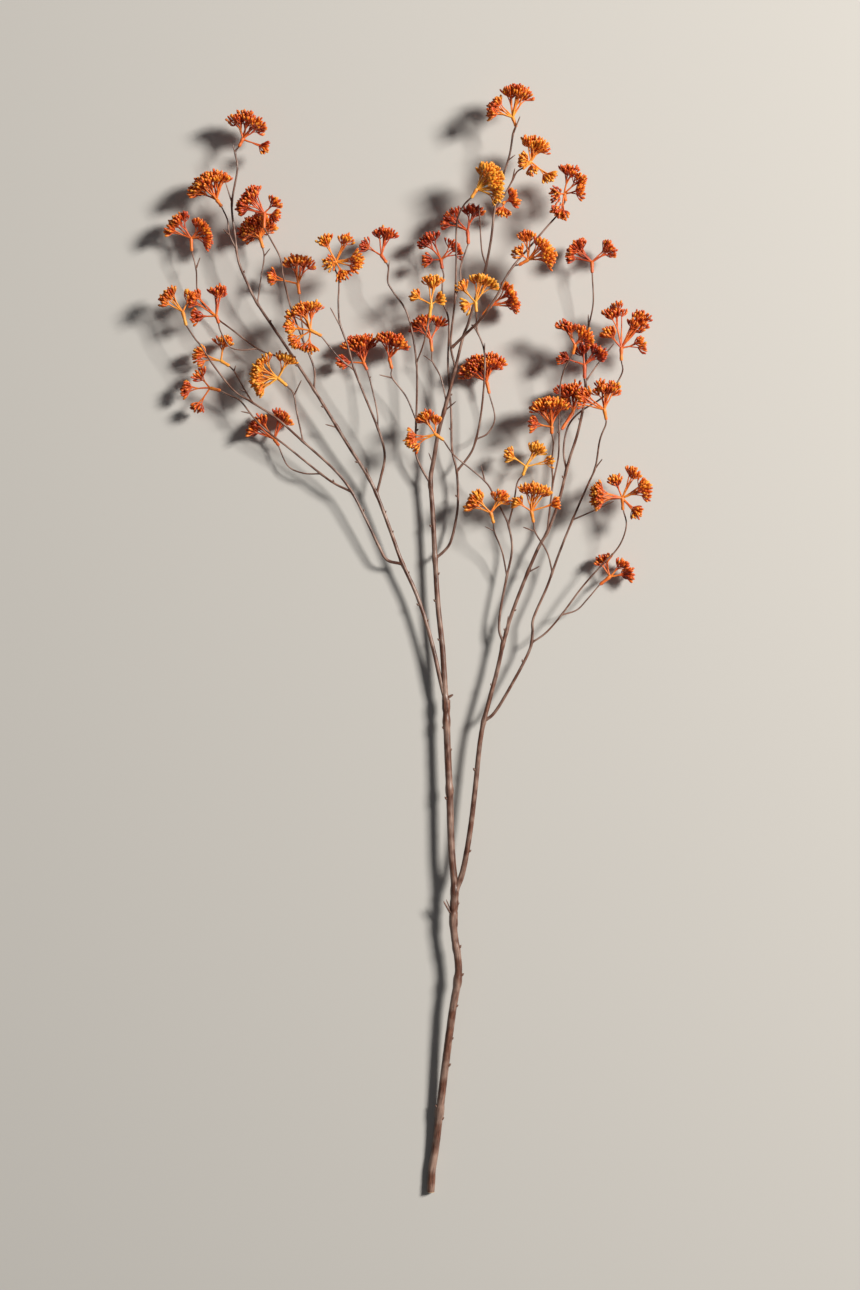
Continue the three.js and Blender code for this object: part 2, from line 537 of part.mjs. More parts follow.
// One berry head. A ray or a pedicel turns about the head's axis until it is clear of
// what is already there, and one that finds no room isn't grown.
function berryHead([footAt, forkAt, crownAt, spreadDegrees], seed) {
  const draw = seeded(seed);
  const [foot, fork, crown] = [footAt, forkAt, crownAt].map(place);
  const axis = crown.clone().sub(fork);
  const reach = axis.length();
  axis.normalize();
  const side = new THREE.Vector3(0, 0, 1).cross(axis).normalize();
  const up = new THREE.Vector3().crossVectors(axis, side);
  const spread = THREE.MathUtils.degToRad(spreadDegrees);
  const others = [...taken];
  const bellies = [];

  // The point that is reached at a tilt from the axis and a turn about it.
  const reached = (tilt, turn, length) => {
    const point = axis.clone().multiplyScalar(Math.cos(tilt))
      .addScaledVector(side, Math.sin(tilt) * Math.cos(turn))
      .addScaledVector(up, Math.sin(tilt) * Math.sin(turn))
      .multiplyScalar(length);
    point.z *= HEAD_FLATNESS;
    return point.add(fork);
  };

  // The neck, the belly and the tip of a berry, lifted where it would sink into the surface.
  const berryFrom = (from, tip) => {
    const along = tip.clone().sub(from).normalize();
    const belly = tip.clone().addScaledVector(along, -BERRY_LENGTH * BERRY_BELLY);
    const lowest = belly.z - BERRY_RADIUS * Math.sqrt(1 - along.z * along.z);
    const lift = new THREE.Vector3(0, 0, Math.max(0, -Math.min(lowest, tip.z)));
    tip.add(lift);
    belly.add(lift);
    return [tip.clone().addScaledVector(along, -BERRY_LENGTH), belly, tip];
  };

  // The first clear shape among those at nearby turns and smaller tilts.
  const grow = (shapeFor, tilt, turn) => {
    const length = reach * (1 + LENGTH_JITTER * draw());
    for (const share of TILT_SHARES) {
      for (const swing of SWINGS) {
        const shape = shapeFor(tilt * share, turn + swing, length);
        const belly = shape.points.at(-2);
        const apart = bellies.every((other) => other.distanceTo(belly) > BERRY_SPACING);
        if (apart && isClear(shape.points, shape.radii, others)) {
          bellies.push(belly);
          return { ...shape, turn: turn + swing };
        }
      }
    }
    return null;
  };

  const stalkEnd = fork.clone().sub(foot).setLength(SINK).add(fork);
  const grown = [{ points: [foot, stalkEnd], radii: [STALK_RADIUS, FORK_RADIUS] }];
  const meshes = [rod([foot, stalkEnd], [STALK_RADIUS, FORK_RADIUS], STALK_SIDES, up)];
  const rays = [];
  for (let i = 0; i < RAYS; i++) {
    const shapeFor = (tilt, turn, length) => {
      const knee = reached(KNEE_TILT * tilt, turn, KNEE * length);
      knee.z = Math.max(knee.z, RAY_RADIUS);
      const onward = knee.clone().sub(fork).setLength(KNEE_LENGTH).add(knee);
      return {
        points: [fork.clone(), knee, onward, ...berryFrom(onward, reached(tilt, turn, length))],
        radii: RAY_RADII,
      };
    };
    const ray = grow(shapeFor, spread, RAY_TURN + (i / RAYS) * 2 * Math.PI + RAY_JITTER * draw());
    if (ray) rays.push(ray);
  }
  for (const ray of rays) {
    const inward = axis.clone().multiplyScalar(reach).add(fork).sub(ray.points[1]);
    const mesh = rod(ray.points, ray.radii, RAY_SIDES, inward);
    const root = ray.points[1].clone().lerp(ray.points[2], 0.5);
    for (const [share, swing] of [[1, Math.PI / RAYS], [INNER_TILT, 0]]) {
      const shapeFor = (tilt, turn, length) => ({
        points: [root, ...berryFrom(root, reached(tilt, turn, length))],
        radii: PEDICEL_RADII,
      });
      const shoot = grow(shapeFor, share * spread, ray.turn + swing + PEDICEL_JITTER * draw());
      if (!shoot) continue;
      sprout(mesh, 1, shoot.points.slice(1), shoot.radii.slice(1));
      grown.push(shoot);
    }
    grown.push(ray);
    meshes.push(mesh);
  }
  for (const piece of grown) take(piece.points, piece.radii);
  return fuse(meshes.map(solidOf));
}

const COLOURS = {
  bark: { color: 0x4a332b, roughness: 0.75, metalness: 0 },
  rust: { color: 0xc9461c, roughness: 0.5, metalness: 0 },
  amber: { color: 0xe08a26, roughness: 0.5, metalness: 0 },
};

function meshOf(solid, name, colour) {
  const { vertProperties, triVerts } = solid.getMesh();
  const geometry = new THREE.BufferGeometry();
  geometry.setAttribute("position", new THREE.BufferAttribute(vertProperties, 3));
  geometry.setIndex(new THREE.BufferAttribute(triVerts, 1));
  geometry.computeVertexNormals();
  const mesh = new THREE.Mesh(geometry, new THREE.MeshStandardMaterial(COLOURS[colour]));
  mesh.name = name;
  return mesh;
}

// Heads that lie low grow first, and the higher ones keep clear of them.
const sprig = new THREE.Group();
sprig.name = "berry_sprig";
sprig.add(meshOf(woodyStem(), "woody_stem", "bark"));
const lowestFirst = Object.entries(HEADS).sort((a, b) => a[1][1][2] - b[1][1][2]);
for (const [number, head] of lowestFirst) {
  const name = `berry_head_${String(number).padStart(2, "0")}`;
  sprig.add(meshOf(berryHead(head, SEED + Number(number)), name, head[4]));
}

export default sprig;
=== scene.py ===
# %% [markdown]
# # A cut sprig of orange berries
# The sprig lies on its back on a pale surface. One woody stem forks into limbs and twigs,
# and each twig ends in a berry head: an umbel, whose rays fork twice before they end in
# berries. The solids of the sprig are already made, with a few berries a head. This file
# dresses them: the same stem with its bark, swellings and buds, and the same heads with all
# their rays and berries.

# %% The frame
import json
import math
import random
import bpy
import numpy as np
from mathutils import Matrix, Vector
from mathutils.kdtree import KDTree


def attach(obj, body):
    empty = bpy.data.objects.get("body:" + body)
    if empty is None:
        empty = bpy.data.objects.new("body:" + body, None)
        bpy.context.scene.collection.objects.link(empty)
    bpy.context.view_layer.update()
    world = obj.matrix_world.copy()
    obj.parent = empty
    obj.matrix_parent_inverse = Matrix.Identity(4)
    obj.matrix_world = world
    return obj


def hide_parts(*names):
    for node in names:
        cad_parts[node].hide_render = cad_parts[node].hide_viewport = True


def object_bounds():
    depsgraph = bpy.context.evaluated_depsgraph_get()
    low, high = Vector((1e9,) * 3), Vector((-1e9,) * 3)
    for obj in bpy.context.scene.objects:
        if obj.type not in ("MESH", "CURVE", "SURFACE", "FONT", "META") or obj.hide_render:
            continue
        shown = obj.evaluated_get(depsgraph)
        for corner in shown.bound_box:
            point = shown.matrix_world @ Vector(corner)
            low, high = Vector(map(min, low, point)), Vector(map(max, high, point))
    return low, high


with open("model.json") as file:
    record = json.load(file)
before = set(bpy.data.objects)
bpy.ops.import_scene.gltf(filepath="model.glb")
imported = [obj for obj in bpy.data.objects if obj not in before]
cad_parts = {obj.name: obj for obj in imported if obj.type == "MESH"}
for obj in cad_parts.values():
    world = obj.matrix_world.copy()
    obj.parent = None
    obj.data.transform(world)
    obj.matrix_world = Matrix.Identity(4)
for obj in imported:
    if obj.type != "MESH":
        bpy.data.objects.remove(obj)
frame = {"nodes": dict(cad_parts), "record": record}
CAD_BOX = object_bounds()
print("solids", len(frame["nodes"]), "box", [[round(v, 3) for v in corner] for corner in CAD_BOX])

# %% [markdown]
# ## The picture's plan
# The sprig was drawn from a picture taken from straight above. A picture point is a column,
# a row and a height in millimetres over the surface. Things that stand higher look larger
# from above, so the height also moves a point towards the middle of the picture.

# %% From the picture to the sprig
MM = 0.001
EYE = {"column": 430, "row": 645, "height": 2400}
MIDDLE = {"column": 409, "row": 643.5}


def place(point):
    """The place on the sprig, in metres, of a picture point."""
    column, row, height = point
    nearer = 1 - height / EYE["height"]
    x = (column - EYE["column"]) * nearer + EYE["column"] - MIDDLE["column"]
    y = (EYE["row"] - row) * nearer + MIDDLE["row"] - EYE["row"]
    return Vector((x, y, height)) * MM


print("the picture's middle is at", place((430, 645, 0)))

# %% [markdown]
# ## The camera, the floor and the light
# The camera hangs over the middle of the picture and looks straight down, as the
# photographer did. One large soft light stands to the right, so that the shadows fall to the
# left, and a wide dim one fills them. The floor is plain and pale.

# %% The camera
PICTURE_HEIGHT = 1290  # rows
SENSOR = 36  # mm, along the picture's height
camera_data = bpy.data.cameras.new("camera")
camera_data.sensor_fit = "VERTICAL"
camera_data.sensor_height = SENSOR
camera_data.lens = SENSOR * EYE["height"] / PICTURE_HEIGHT
camera_data.clip_end = 20
camera = bpy.data.objects.new("camera", camera_data)
camera.location = place((EYE["column"], EYE["row"], 0)) + Vector((0, 0, EYE["height"] * MM))
bpy.context.scene.collection.objects.link(camera)
bpy.context.scene.camera = camera
print("lens", round(camera_data.lens, 1), "mm")


# %% Nodes and materials, in short
def link(tree, source, target):
    """Links two sockets, or sets the target socket where the source is a plain value."""
    if isinstance(source, bpy.types.NodeSocket):
        tree.links.new(source, target)
    else:
        target.default_value = source


def new_material(name):
    """A material with its Principled BSDF, and nothing else yet."""
    material = bpy.data.materials.new(name)
    material.use_nodes = True
    return material, material.node_tree, material.node_tree.nodes["Principled BSDF"]


# %% The floor
FLOOR_SIZE = 7.0
FLOOR_LEVEL = -0.0002  # just under the sprig's lowest points
floor_mesh = bpy.data.meshes.new("floor")
edge = FLOOR_SIZE / 2
corners = [(-edge, -edge), (edge, -edge), (edge, edge), (-edge, edge)]
floor_mesh.from_pydata([(x, y, FLOOR_LEVEL) for x, y in corners], [], [(0, 1, 2, 3)])
floor = bpy.data.objects.new("floor", floor_mesh)
bpy.context.scene.collection.objects.link(floor)
floor_material, _, floor_shader = new_material("pale floor")
floor_shader.inputs["Base Color"].default_value = (0.56, 0.55, 0.535, 1)
floor_shader.inputs["Roughness"].default_value = 0.9
floor_mesh.materials.append(floor_material)


# %% The lights
def add_light(name, location, size, power, colour):
    """A square soft light that looks at the sprig's middle."""
    data = bpy.data.lights.new(name, "AREA")
    data.size = size
    data.energy = power
    data.color = colour
    light = bpy.data.objects.new(name, data)
    light.location = location
    light.rotation_euler = (-Vector(location)).to_track_quat("-Z", "Y").to_euler()
    bpy.context.scene.collection.objects.link(light)


add_light("window", (3.7, 1.7, 3.5), size=1.2, power=440, colour=(1.0, 0.95, 0.87))
add_light("fill", (-1.6, -1.2, 3.2), size=3.0, power=3, colour=(0.96, 0.97, 1.0))
world = bpy.data.worlds.new("studio")
bpy.context.scene.world = world
world.use_nodes = True
world.node_tree.nodes["Background"].inputs["Color"].default_value = (1, 1, 1, 1)
world.node_tree.nodes["Background"].inputs["Strength"].default_value = 0.08
bpy.context.scene.view_settings.view_transform = "Standard"

# %% [markdown]
# ## The woody stem's routes
# A grown stem follows no formula, so its routes stay a list that was read off the picture:
# for each limb its first and last radius in millimetres, and the points it passes.

# %% The routes
STEM_RADIUS = 4.0
FOOT = STEM_RADIUS
STEM = {
    "main": [
        STEM_RADIUS, 3.4,
        [[430.5, 1192, FOOT], [431.3, 1180, FOOT], [432.1, 1168, FOOT], [435.5, 1147, 5.2],
            [441, 1100, 8.5], [447, 1052, 12], [453, 1008, 15.2], [457.6, 981, 16.6], [458.2, 962, 17],
            [453.5, 926, 17.5], [454.6, 888, 17.3], [451.5, 850, 16.7], [449.6, 794, 15.8],
            [447, 736, 15], [446, 700, 14.6]],
    ],
    "main_upper": [
        3.1, 1.65,
        [[446.2, 706, 14.6], [444.6, 684, 14.4], [442.6, 650, 14], [437.8, 603, 13.5], [435, 558, 13],
            [432.4, 508, 13], [430.5, 480, 13.5], [434, 458, 15], [438.6, 432, 17.4], [447.7, 398, 20.5],
            [455.4, 368, 23]],
    ],
    "centre_limb": [
        1.5, 0.9,
        [[454.6, 371, 23], [463.2, 336.5, 24], [468.5, 322.7, 24], [478, 290, 24], [484.5, 272.5, 25],
            [490.9, 240.5, 29], [495, 207, 32], [502.5, 177.7, 34], [509.5, 155.3, 36],
            [513, 134, 38], [515.3, 127.5, 38]],
    ],
    "left_limb": [
        2.2, 0.8,
        [[446, 702, 14.6], [441.2, 683.8, 14.4], [431.3, 640.7, 14], [418, 598, 14], [402, 562.5, 14],
            [392.4, 536, 14.3], [377.4, 496, 15], [366.1, 473.2, 16], [350.7, 449.4, 17.5],
            [332, 418.8, 19], [313.9, 389.5, 20.5], [286.7, 347.4, 22], [258, 304.5, 24],
            [248.1, 285, 25], [238.5, 261.2, 26], [235, 235, 27.5], [231.8, 205, 29],
            [236.6, 175.3, 30], [237.5, 164.7, 30], [235.3, 152.5, 30], [239, 146.6, 30]],
    ],
    "far_left_limb": [
        1.55, 0.75,
        [[402.5, 564, 14], [387.3, 560, 15], [379.3, 547.3, 16], [366, 519.3, 18], [351.5, 491.5, 20],
            [334.3, 469.8, 23], [302.6, 441.2, 26.5], [276.5, 418.3, 29], [252, 402.3, 30.5],
            [233.9, 390.5, 32], [214.7, 367, 33.5], [200.8, 345.7, 34], [195.5, 339.3, 34],
            [186.3, 325.6, 33]],
    ],
    "low_left_limb": [
        1.2, 0.7,
        [[352, 492, 20], [334.3, 483.4, 19], [318.5, 472, 19], [289, 448.2, 23], [268.6, 432.4, 25],
            [255, 419.3, 25], [240.5, 401, 23.5], [230.7, 395.9, 22], [220.6, 391, 20.3]],
    ],
    "inner_left_limb": [
        1.35, 0.75,
        [[376.5, 494, 15], [380.7, 477.7, 16.5], [384.7, 456.2, 18.5], [379.7, 433.5, 22.5],
            [363.8, 393.8, 32], [354.1, 369, 37], [347.9, 346.3, 40], [340, 323.6, 42],
            [338.3, 303, 42], [338.8, 280.5, 42], [333.9, 266.8, 42]],
    ],
    "cross_left_limb": [
        0.95, 0.7,
        [[293, 358, 21.7], [274, 355.3, 21], [256.5, 348, 20], [231, 328.9, 15], [219, 320, 11.5],
            [205, 307, 10], [197.5, 292, 13], [196.2, 270, 21], [191.8, 251.4, 24]],
    ],
    "upper_left_limb": [
        1.05, 0.75,
        [[314, 390, 20.5], [313.9, 367.8, 22], [302.6, 339, 24.5], [291.2, 308.8, 34],
            [283.3, 277, 45], [280.3, 258, 48], [271, 240, 48], [264.3, 228.4, 48]],
    ],
    "centre_left_limb": [
        1.25, 0.75,
        [[430.6, 484, 13.4], [419.9, 465, 15], [415.4, 448, 17], [416.5, 412, 19.3],
            [416.4, 362, 23], [407.9, 315.4, 26], [393.3, 292, 29], [387.8, 281.6, 30],
            [388.5, 268, 31.5], [386.4, 262.6, 32]],
    ],
    "second_limb": [
        1.45, 0.75,
        [[434.9, 558.5, 13], [443.2, 552, 12], [450.5, 542, 11.5], [456, 519.3, 11], [458, 500, 11],
            [456.7, 471, 13], [452, 449, 15], [451, 410, 17], [448, 365, 19], [448.8, 322, 24.5],
            [442.9, 301.3, 26], [442.4, 283, 26], [443.8, 275.7, 26], [442.3, 268.9, 26]],
    ],
    "amber_limb": [
        1.1, 0.8,
        [[455, 367, 23], [450.7, 343, 26.5], [454.7, 302, 33], [456.2, 266, 36], [456.8, 224, 40],
            [463, 206.5, 45], [471, 197.8, 47.5]],
    ],
    "arching_limb": [
        1.45, 0.8,
        [[452, 347.5, 26], [465.3, 334.4, 31], [482.4, 317.3, 41], [497.3, 295, 48], [504.8, 279, 49],
            [515, 264, 46], [533, 243, 38], [549.5, 224, 34], [558.5, 213.5, 34], [565.1, 201.3, 34]],
    ],
    "side_limb": [
        1.2, 0.8,
        [[457, 471, 13], [469.8, 454.7, 16], [475.5, 441, 19], [481, 414, 25], [484.5, 376, 31],
            [484, 350, 32], [477, 331.5, 33], [471.5, 324.5, 34]],
    ],
    "right_limb": [
        3.1, 2.0,
        [[454.8, 892, 17.3], [460.8, 878, 17.8], [464.8, 862, 18], [470.5, 828, 18], [475, 790, 18],
            [480.9, 736, 17], [488.6, 703, 16.5], [497.3, 670, 16], [503.3, 641.5, 15.5]],
    ],
    "right_upper": [
        1.85, 1.15,
        [[502.8, 645, 15.5], [510, 619.3, 15.5], [520.7, 590, 15.5], [536.7, 551.3, 15.5],
            [548.5, 529.5, 16], [559.3, 499.3, 18], [568, 464, 20], [578.2, 431.2, 23],
            [584.5, 400, 25.5], [585.6, 384, 27], [584.6, 378.6, 27.5]],
    ],
    "right_inner": [
        1.4, 1.0,
        [[503.3, 642, 15.5], [499.2, 630, 14.5], [500.5, 610, 14], [506.5, 578, 13.5],
            [511.4, 555, 14], [511.5, 540, 15], [507.3, 520.7, 16]],
    ],
    "right_outer": [
        1.65, 0.75,
        [[483.6, 721, 17], [494.4, 712.8, 17], [509.9, 687.7, 17], [529.2, 651, 17], [532.5, 632, 17],
            [533.5, 618, 17], [547.3, 586, 17], [559.3, 552.7, 18], [572.7, 519.3, 20],
            [587.3, 486, 24], [595.4, 467, 27], [599.8, 440.3, 33], [605.7, 425, 37],
            [606.1, 420, 38]],
    ],
    "low_right_limb": [
        1.0, 0.7,
        [[532, 642.5, 17], [546, 632.7, 17.5], [561, 615.5, 18], [582, 587.3, 19],
            [603.3, 563.3, 22], [615.3, 551.3, 25], [622.7, 539, 27], [626.4, 524, 29],
            [623.3, 510.2, 30]],
    ],
    "to_head_2": [
        0.9, 0.7,
        [[236.6, 250, 26.5], [229.5, 234.5, 28], [227.5, 220, 29], [221.5, 206.7, 30]],
    ],
    "to_head_5": [
        0.75, 0.7,
        [[257.5, 303, 24], [260.6, 280.5, 21], [264.1, 258, 20], [262.8, 248.4, 20]],
    ],
    "to_head_6": [0.75, 0.7, [[303.2, 340.5, 24.4], [301.6, 318, 19.5], [299.5, 294.3, 20]]],
    "to_head_9": [0.95, 0.7, [[354.4, 370, 36.7], [338.8, 357.6, 40], [321.6, 336.6, 44]]],
    "to_head_11": [
        0.75, 0.7,
        [[257.5, 348.6, 20], [240, 350, 22], [228.5, 345.5, 24], [220.5, 331, 28], [218.5, 323.6, 30]],
    ],
    "to_head_12": [
        0.95, 0.7,
        [[253, 403, 30.4], [245, 390.5, 27], [234.9, 372.4, 19], [229.4, 366.1, 16.5]],
    ],
    "to_head_14": [
        0.85, 0.7,
        [[303.2, 441.8, 26.4], [296.5, 411, 28], [293.6, 394, 29], [287, 386, 29]],
    ],
    "to_head_15": [
        0.8, 0.7,
        [[321, 473.8, 19.2], [303.7, 473.2, 15], [288, 466, 12], [278.5, 446, 12]],
    ],
    "to_head_16": [
        0.8, 0.7,
        [[377.8, 428, 23.8], [377, 411, 21], [370.6, 382.5, 18], [367, 369.9, 17]],
    ],
    "to_head_17": [
        0.85, 0.7,
        [[416.5, 421, 18.8], [406.3, 397, 21], [392.3, 377.8, 23], [391.7, 369, 23.5]],
    ],
    "to_head_19": [
        0.85, 0.75,
        [[495, 208, 32], [502.5, 198, 34], [511.6, 182, 37], [517, 171.8, 39], [523.4, 167.7, 40]],
    ],
    "to_head_22": [0.7, 0.7, [[494.9, 208.5, 32], [499, 206.5, 27], [502.2, 204.2, 24]]],
    "to_head_23": [
        0.85, 0.75,
        [[455, 299, 33.3], [460.3, 281, 29.5], [460.8, 266, 28], [468.2, 244.2, 26]],
    ],
    "to_head_25": [
        0.8, 0.75,
        [[416.4, 363, 23], [422.8, 346, 29.5], [425.9, 334, 34.5], [428.9, 318, 37.5]],
    ],
    "to_head_26": [0.85, 0.75, [[477.5, 332.5, 33], [476.5, 325, 34.5], [476.3, 312, 37.5]]],
    "to_head_27": [0.75, 0.7, [[476.6, 326.5, 34.2], [479.5, 318.5, 30], [482.5, 315.1, 27.5]]],
    "to_head_28": [
        0.85, 0.7,
        [[446.5, 402.5, 20], [441, 378, 19.5], [432.3, 361, 20], [431.9, 351.8, 21]],
    ],
    "to_head_29": [0.8, 0.75, [[514, 265.5, 46.3], [518.6, 264.9, 46.5]]],
    "to_head_30": [
        0.85, 0.7,
        [[476, 439.3, 19.4], [488, 433, 17], [494.8, 417.5, 15.5], [489.2, 393.8, 15]],
    ],
    "to_head_31": [
        0.95, 0.7,
        [[507.6, 522, 16], [493.6, 494.4, 21], [483.4, 479.7, 25], [455, 455.9, 32],
            [443.4, 440.3, 37.5]],
    ],
    "to_head_32": [
        1.0, 0.7,
        [[585.5, 386, 26.8], [586, 368, 19], [586.1, 347, 14], [588.4, 327.7, 17.5],
            [593.2, 303, 21.5], [592.2, 272.9, 26]],
    ],
    "to_head_33": [
        1.05, 0.75,
        [[566.5, 471, 19.5], [563.6, 450, 15.5], [568, 426.7, 12], [580, 412, 12.5],
            [599, 400, 20], [613.4, 387.8, 28], [622.4, 372, 31.5], [621.4, 361, 32]],
    ],
    "to_head_35": [
        0.95, 0.7,
        [[552.6, 484, 19], [558.4, 456.2, 22], [559.2, 425, 25], [559.8, 391, 28.5],
            [563.5, 371.5, 34], [572, 355, 41]],
    ],
    "to_head_36": [
        1.05, 0.75,
        [[547.2, 532.5, 16], [550, 507.3, 17.5], [552.6, 483.4, 19], [551.8, 462, 24],
            [553.4, 444, 31], [551.8, 434, 35]],
    ],
    "to_head_38": [0.75, 0.7, [[559.2, 430, 24.7], [561.6, 428.9, 24]]],
    "to_head_39": [
        0.95, 0.7,
        [[508.2, 525, 15.8], [513.6, 503.8, 18], [517.2, 483, 21.5], [522.6, 475.5, 24]],
    ],
    "to_head_40": [
        0.85, 0.7,
        [[507, 577, 13.5], [502.2, 552, 20], [494.5, 532.5, 29], [493.4, 523.3, 31.5]],
    ],
    "to_head_41": [
        0.85, 0.7,
        [[552.5, 573.5, 17.2], [547.3, 552.7, 22], [535.6, 533, 31], [533.5, 522.7, 33.6]],
    ],
    "to_head_43": [
        0.8, 0.7,
        [[561.5, 615, 18], [576.7, 610, 15.5], [587.3, 599.3, 14], [599.5, 584.9, 14]],
    ],
}
SPURS = [
    [[235.3, 154, 30], [232.7, 144.4, 32]],
    [[232, 203, 29], [225.7, 182.8, 33]],
    [[230.2, 236, 27.9], [223.4, 229.5, 30]],
    [[196.3, 268, 21.5], [200, 257.6, 24]],
    [[340.8, 327, 41.8], [330.3, 307.7, 46]],
    [[392.4, 378, 23], [379.3, 374.8, 25]],
    [[293.8, 396, 28.8], [301.4, 380.2, 32]],
    [[337, 427.4, 18.3], [325.4, 424.4, 21]],
    [[369, 478, 15.7], [366, 467, 19]],
    [[513, 134.5, 38], [520, 116.5, 42]],
    [[512.5, 180, 37.3], [514.8, 168.5, 41]],
    [[486.2, 265.5, 26], [481.9, 251, 30], [479.8, 221, 36], [479, 204, 38]],
    [[444.5, 411, 19], [456, 401.4, 24]],
    [[484.8, 481, 24.5], [481, 465.5, 28]],
    [[588.3, 329, 17.3], [588.3, 314.5, 19]],
    [[586, 381, 26], [600.3, 360.6, 15], [614, 343.6, 12]],
    [[594.8, 469, 26.6], [602.3, 459, 29]],
    [[534.9, 531.5, 31.6], [523, 527, 33]],
    [[528.5, 572, 15.5], [539.5, 566.3, 19]],
    [[506, 632.5, 15.5], [508.4, 616, 19]],
    [[572.5, 520, 20], [596.4, 509.5, 29], [614, 501, 37]],
    [[453.6, 917, 17.5], [446.2, 899.5, 19.5]],
]
print("limbs", len(STEM), "spurs", len(SPURS))

# %% Small spurs and buds, by column and row alone
SMALL_SPURS = [  # foot and tip, and the radius in mm
    [(234.6, 372), (236, 365.5), 0.7], [(246, 392), (239.6, 389.8), 0.8],
    [(249.5, 414), (241, 411.6), 0.8], [(432.5, 361.5), (423.3, 355.5), 0.7],
    [(484.1, 352), (484.8, 343), 0.7], [(446.1, 698), (453.2, 694.5), 1.7],
    [(494.2, 531.5), (485, 526.6), 0.7], [(388.6, 270), (389.6, 260.7), 0.7],
    [(558, 214), (560.5, 202.5), 0.7], [(264, 257), (270.2, 248.8), 0.7],
    [(507, 161), (515.2, 155.2), 0.7], [(433.6, 464), (428.7, 453), 0.8],
    [(449.5, 919), (443.6, 901), 1.25],
]
BUDS = [  # where the bud's tip shows
    (461.5, 948), (456.8, 1008), (444, 1120), (449.5, 1066), (439, 1108), (442.5, 730), (452.3, 752),
    (435.5, 601), (431, 527), (440.5, 640), (437.6, 575), (420.8, 606), (394.5, 531), (366.6, 510),
    (371.5, 377), (335.4, 480), (454.5, 496), (469, 853), (492.8, 686), (521.5, 662), (558, 434),
    (447.6, 800), (456, 905), (462.5, 975), (451, 1040), (475.6, 770), (487.5, 722), (505.3, 630),
    (515.8, 612), (408, 575), (427.6, 622), (385, 512), (357, 462), (323.5, 408), (297, 366),
    (270.5, 322), (245, 272), (419.5, 430), (447.3, 430), (457.5, 396), (564, 478), (580.5, 420),
]
print("small spurs", len(SMALL_SPURS), "buds", len(BUDS))

# %% [markdown]
# ## The woody stem's shape
# A limb bends smoothly between the points of its route, and swells a little where another
# limb or a twig grows from it. Each route becomes a line of short steps that carries its
# thickness along. Geometry Nodes then gives all the lines their flesh at once, which keeps
# the stem one piece with one set of sizes.

# %% Smooth lines
STEP = 2.2 * MM


def bend(points, weights):
    """A smooth line through the points, in short steps, with a weight beside each step."""
    ends = [points[0] * 2 - points[1], *points, points[-1] * 2 - points[-2]]
    line, carried = [], []
    for i in range(len(points) - 1):
        a, b, c, d = ends[i:i + 4]
        count = max(2, round((c - b).length / STEP))
        for k in range(count):
            t = k / count
            line.append(0.5 * (
                2 * b + (c - a) * t + (2 * a - 5 * b + 4 * c - d) * t * t
                + (3 * b - a - 3 * c + d) * t * t * t
            ))
            carried.append(weights[i] + (weights[i + 1] - weights[i]) * t)
    return line + [points[-1]], carried + [weights[-1]]


class Lines:
    """Lines for Geometry Nodes, and loose tips. Every point carries the values of MARKS."""

    MARKS = ("thickness", "along", "own", "size")

    def __init__(self):
        self.points, self.edges, self.directions = [], [], []
        self.values = {name: [] for name in self.MARKS}

    def add(self, points, thickness, own, along=None):
        """Adds one line. Only a head's lines say how far along the head they are."""
        first, count = len(self.points), len(points)
        zeros = [0] * count
        self.points += points
        self.edges += [(first + i, first + i + 1) for i in range(count - 1)]
        self.directions += [(0, 0, 1)] * count
        for name, values in zip(self.MARKS, (thickness, along or zeros, [own] * count, zeros)):
            self.values[name] += values

    def add_tip(self, point, direction, own, size):
        """Adds one loose tip, the place of a bud or a berry."""
        self.points.append(point)
        self.directions.append(direction)
        for name, value in zip(self.MARKS, (0, 0, own, size)):
            self.values[name].append(value)

    def mesh(self, name):
        mesh = bpy.data.meshes.new(name)
        mesh.from_pydata(self.points, self.edges, [])
        for key, values in self.values.items():
            mesh.attributes.new(key, "FLOAT", "POINT").data.foreach_set("value", values)
        directions = [number for direction in self.directions for number in direction]
        mesh.attributes.new("direction", "FLOAT_VECTOR", "POINT").data.foreach_set("vector", directions)
        return mesh


# %% The limbs and their swellings
SWELLING = 0.22  # share of the radius
KNOTS = [  # further swellings of the main stem
    [457.6, 981, 16.6], [445.5, 722, 15], [446.5, 700, 15], [453.5, 922, 17.5], [455.5, 904, 17],
    [461, 948, 17], [439.8, 1112, 8], [449, 790, 15.8],
]
SWELLING_LENGTH = 3.2 * MM
FOOT_POINTS = 2  # the foot keeps its radius up to here
LYING = 1.05  # radii from a limb's middle to the floor, at least
limbs = [([place(p) for p in line], first, last) for first, last, line in STEM.values()]
spurs = [[place(p) for p in line] for line in SPURS]
forks = [points[0] for points, _, _ in limbs[1:]] + [points[0] for points in spurs]
forks += [place(knot) for knot in KNOTS]
fork_tree = KDTree(len(forks))
for i, fork in enumerate(forks):
    fork_tree.insert(fork, i)
fork_tree.balance()


def swell(point, radius):
    """The radius there, in metres, with the swelling of the nearest fork."""
    distance = fork_tree.find(point)[2]
    nearness = max(0.0, 1 - (distance / (SWELLING_LENGTH + radius * MM)) ** 2)
    return radius * MM * (1 + SWELLING * nearness)


wood = Lines()
wood_segments = []
chance = random.Random(11)
for points, first, last in limbs:
    steps = len(points) - 1
    start = FOOT_POINTS if first == STEM_RADIUS else 0
    weights = [first + (last - first) * max(0, i - start) / (steps - start) for i in range(steps + 1)]
    line, radii = bend(points, weights)
    thickness = [swell(p, r) for p, r in zip(line, radii)]
    line = [Vector((p.x, p.y, max(p.z, t * LYING))) for p, t in zip(line, thickness)]
    wood.add(line, thickness, chance.random())
    wood_segments += zip(line[:-1], line[1:], thickness)
print("stem steps", len(wood.points))


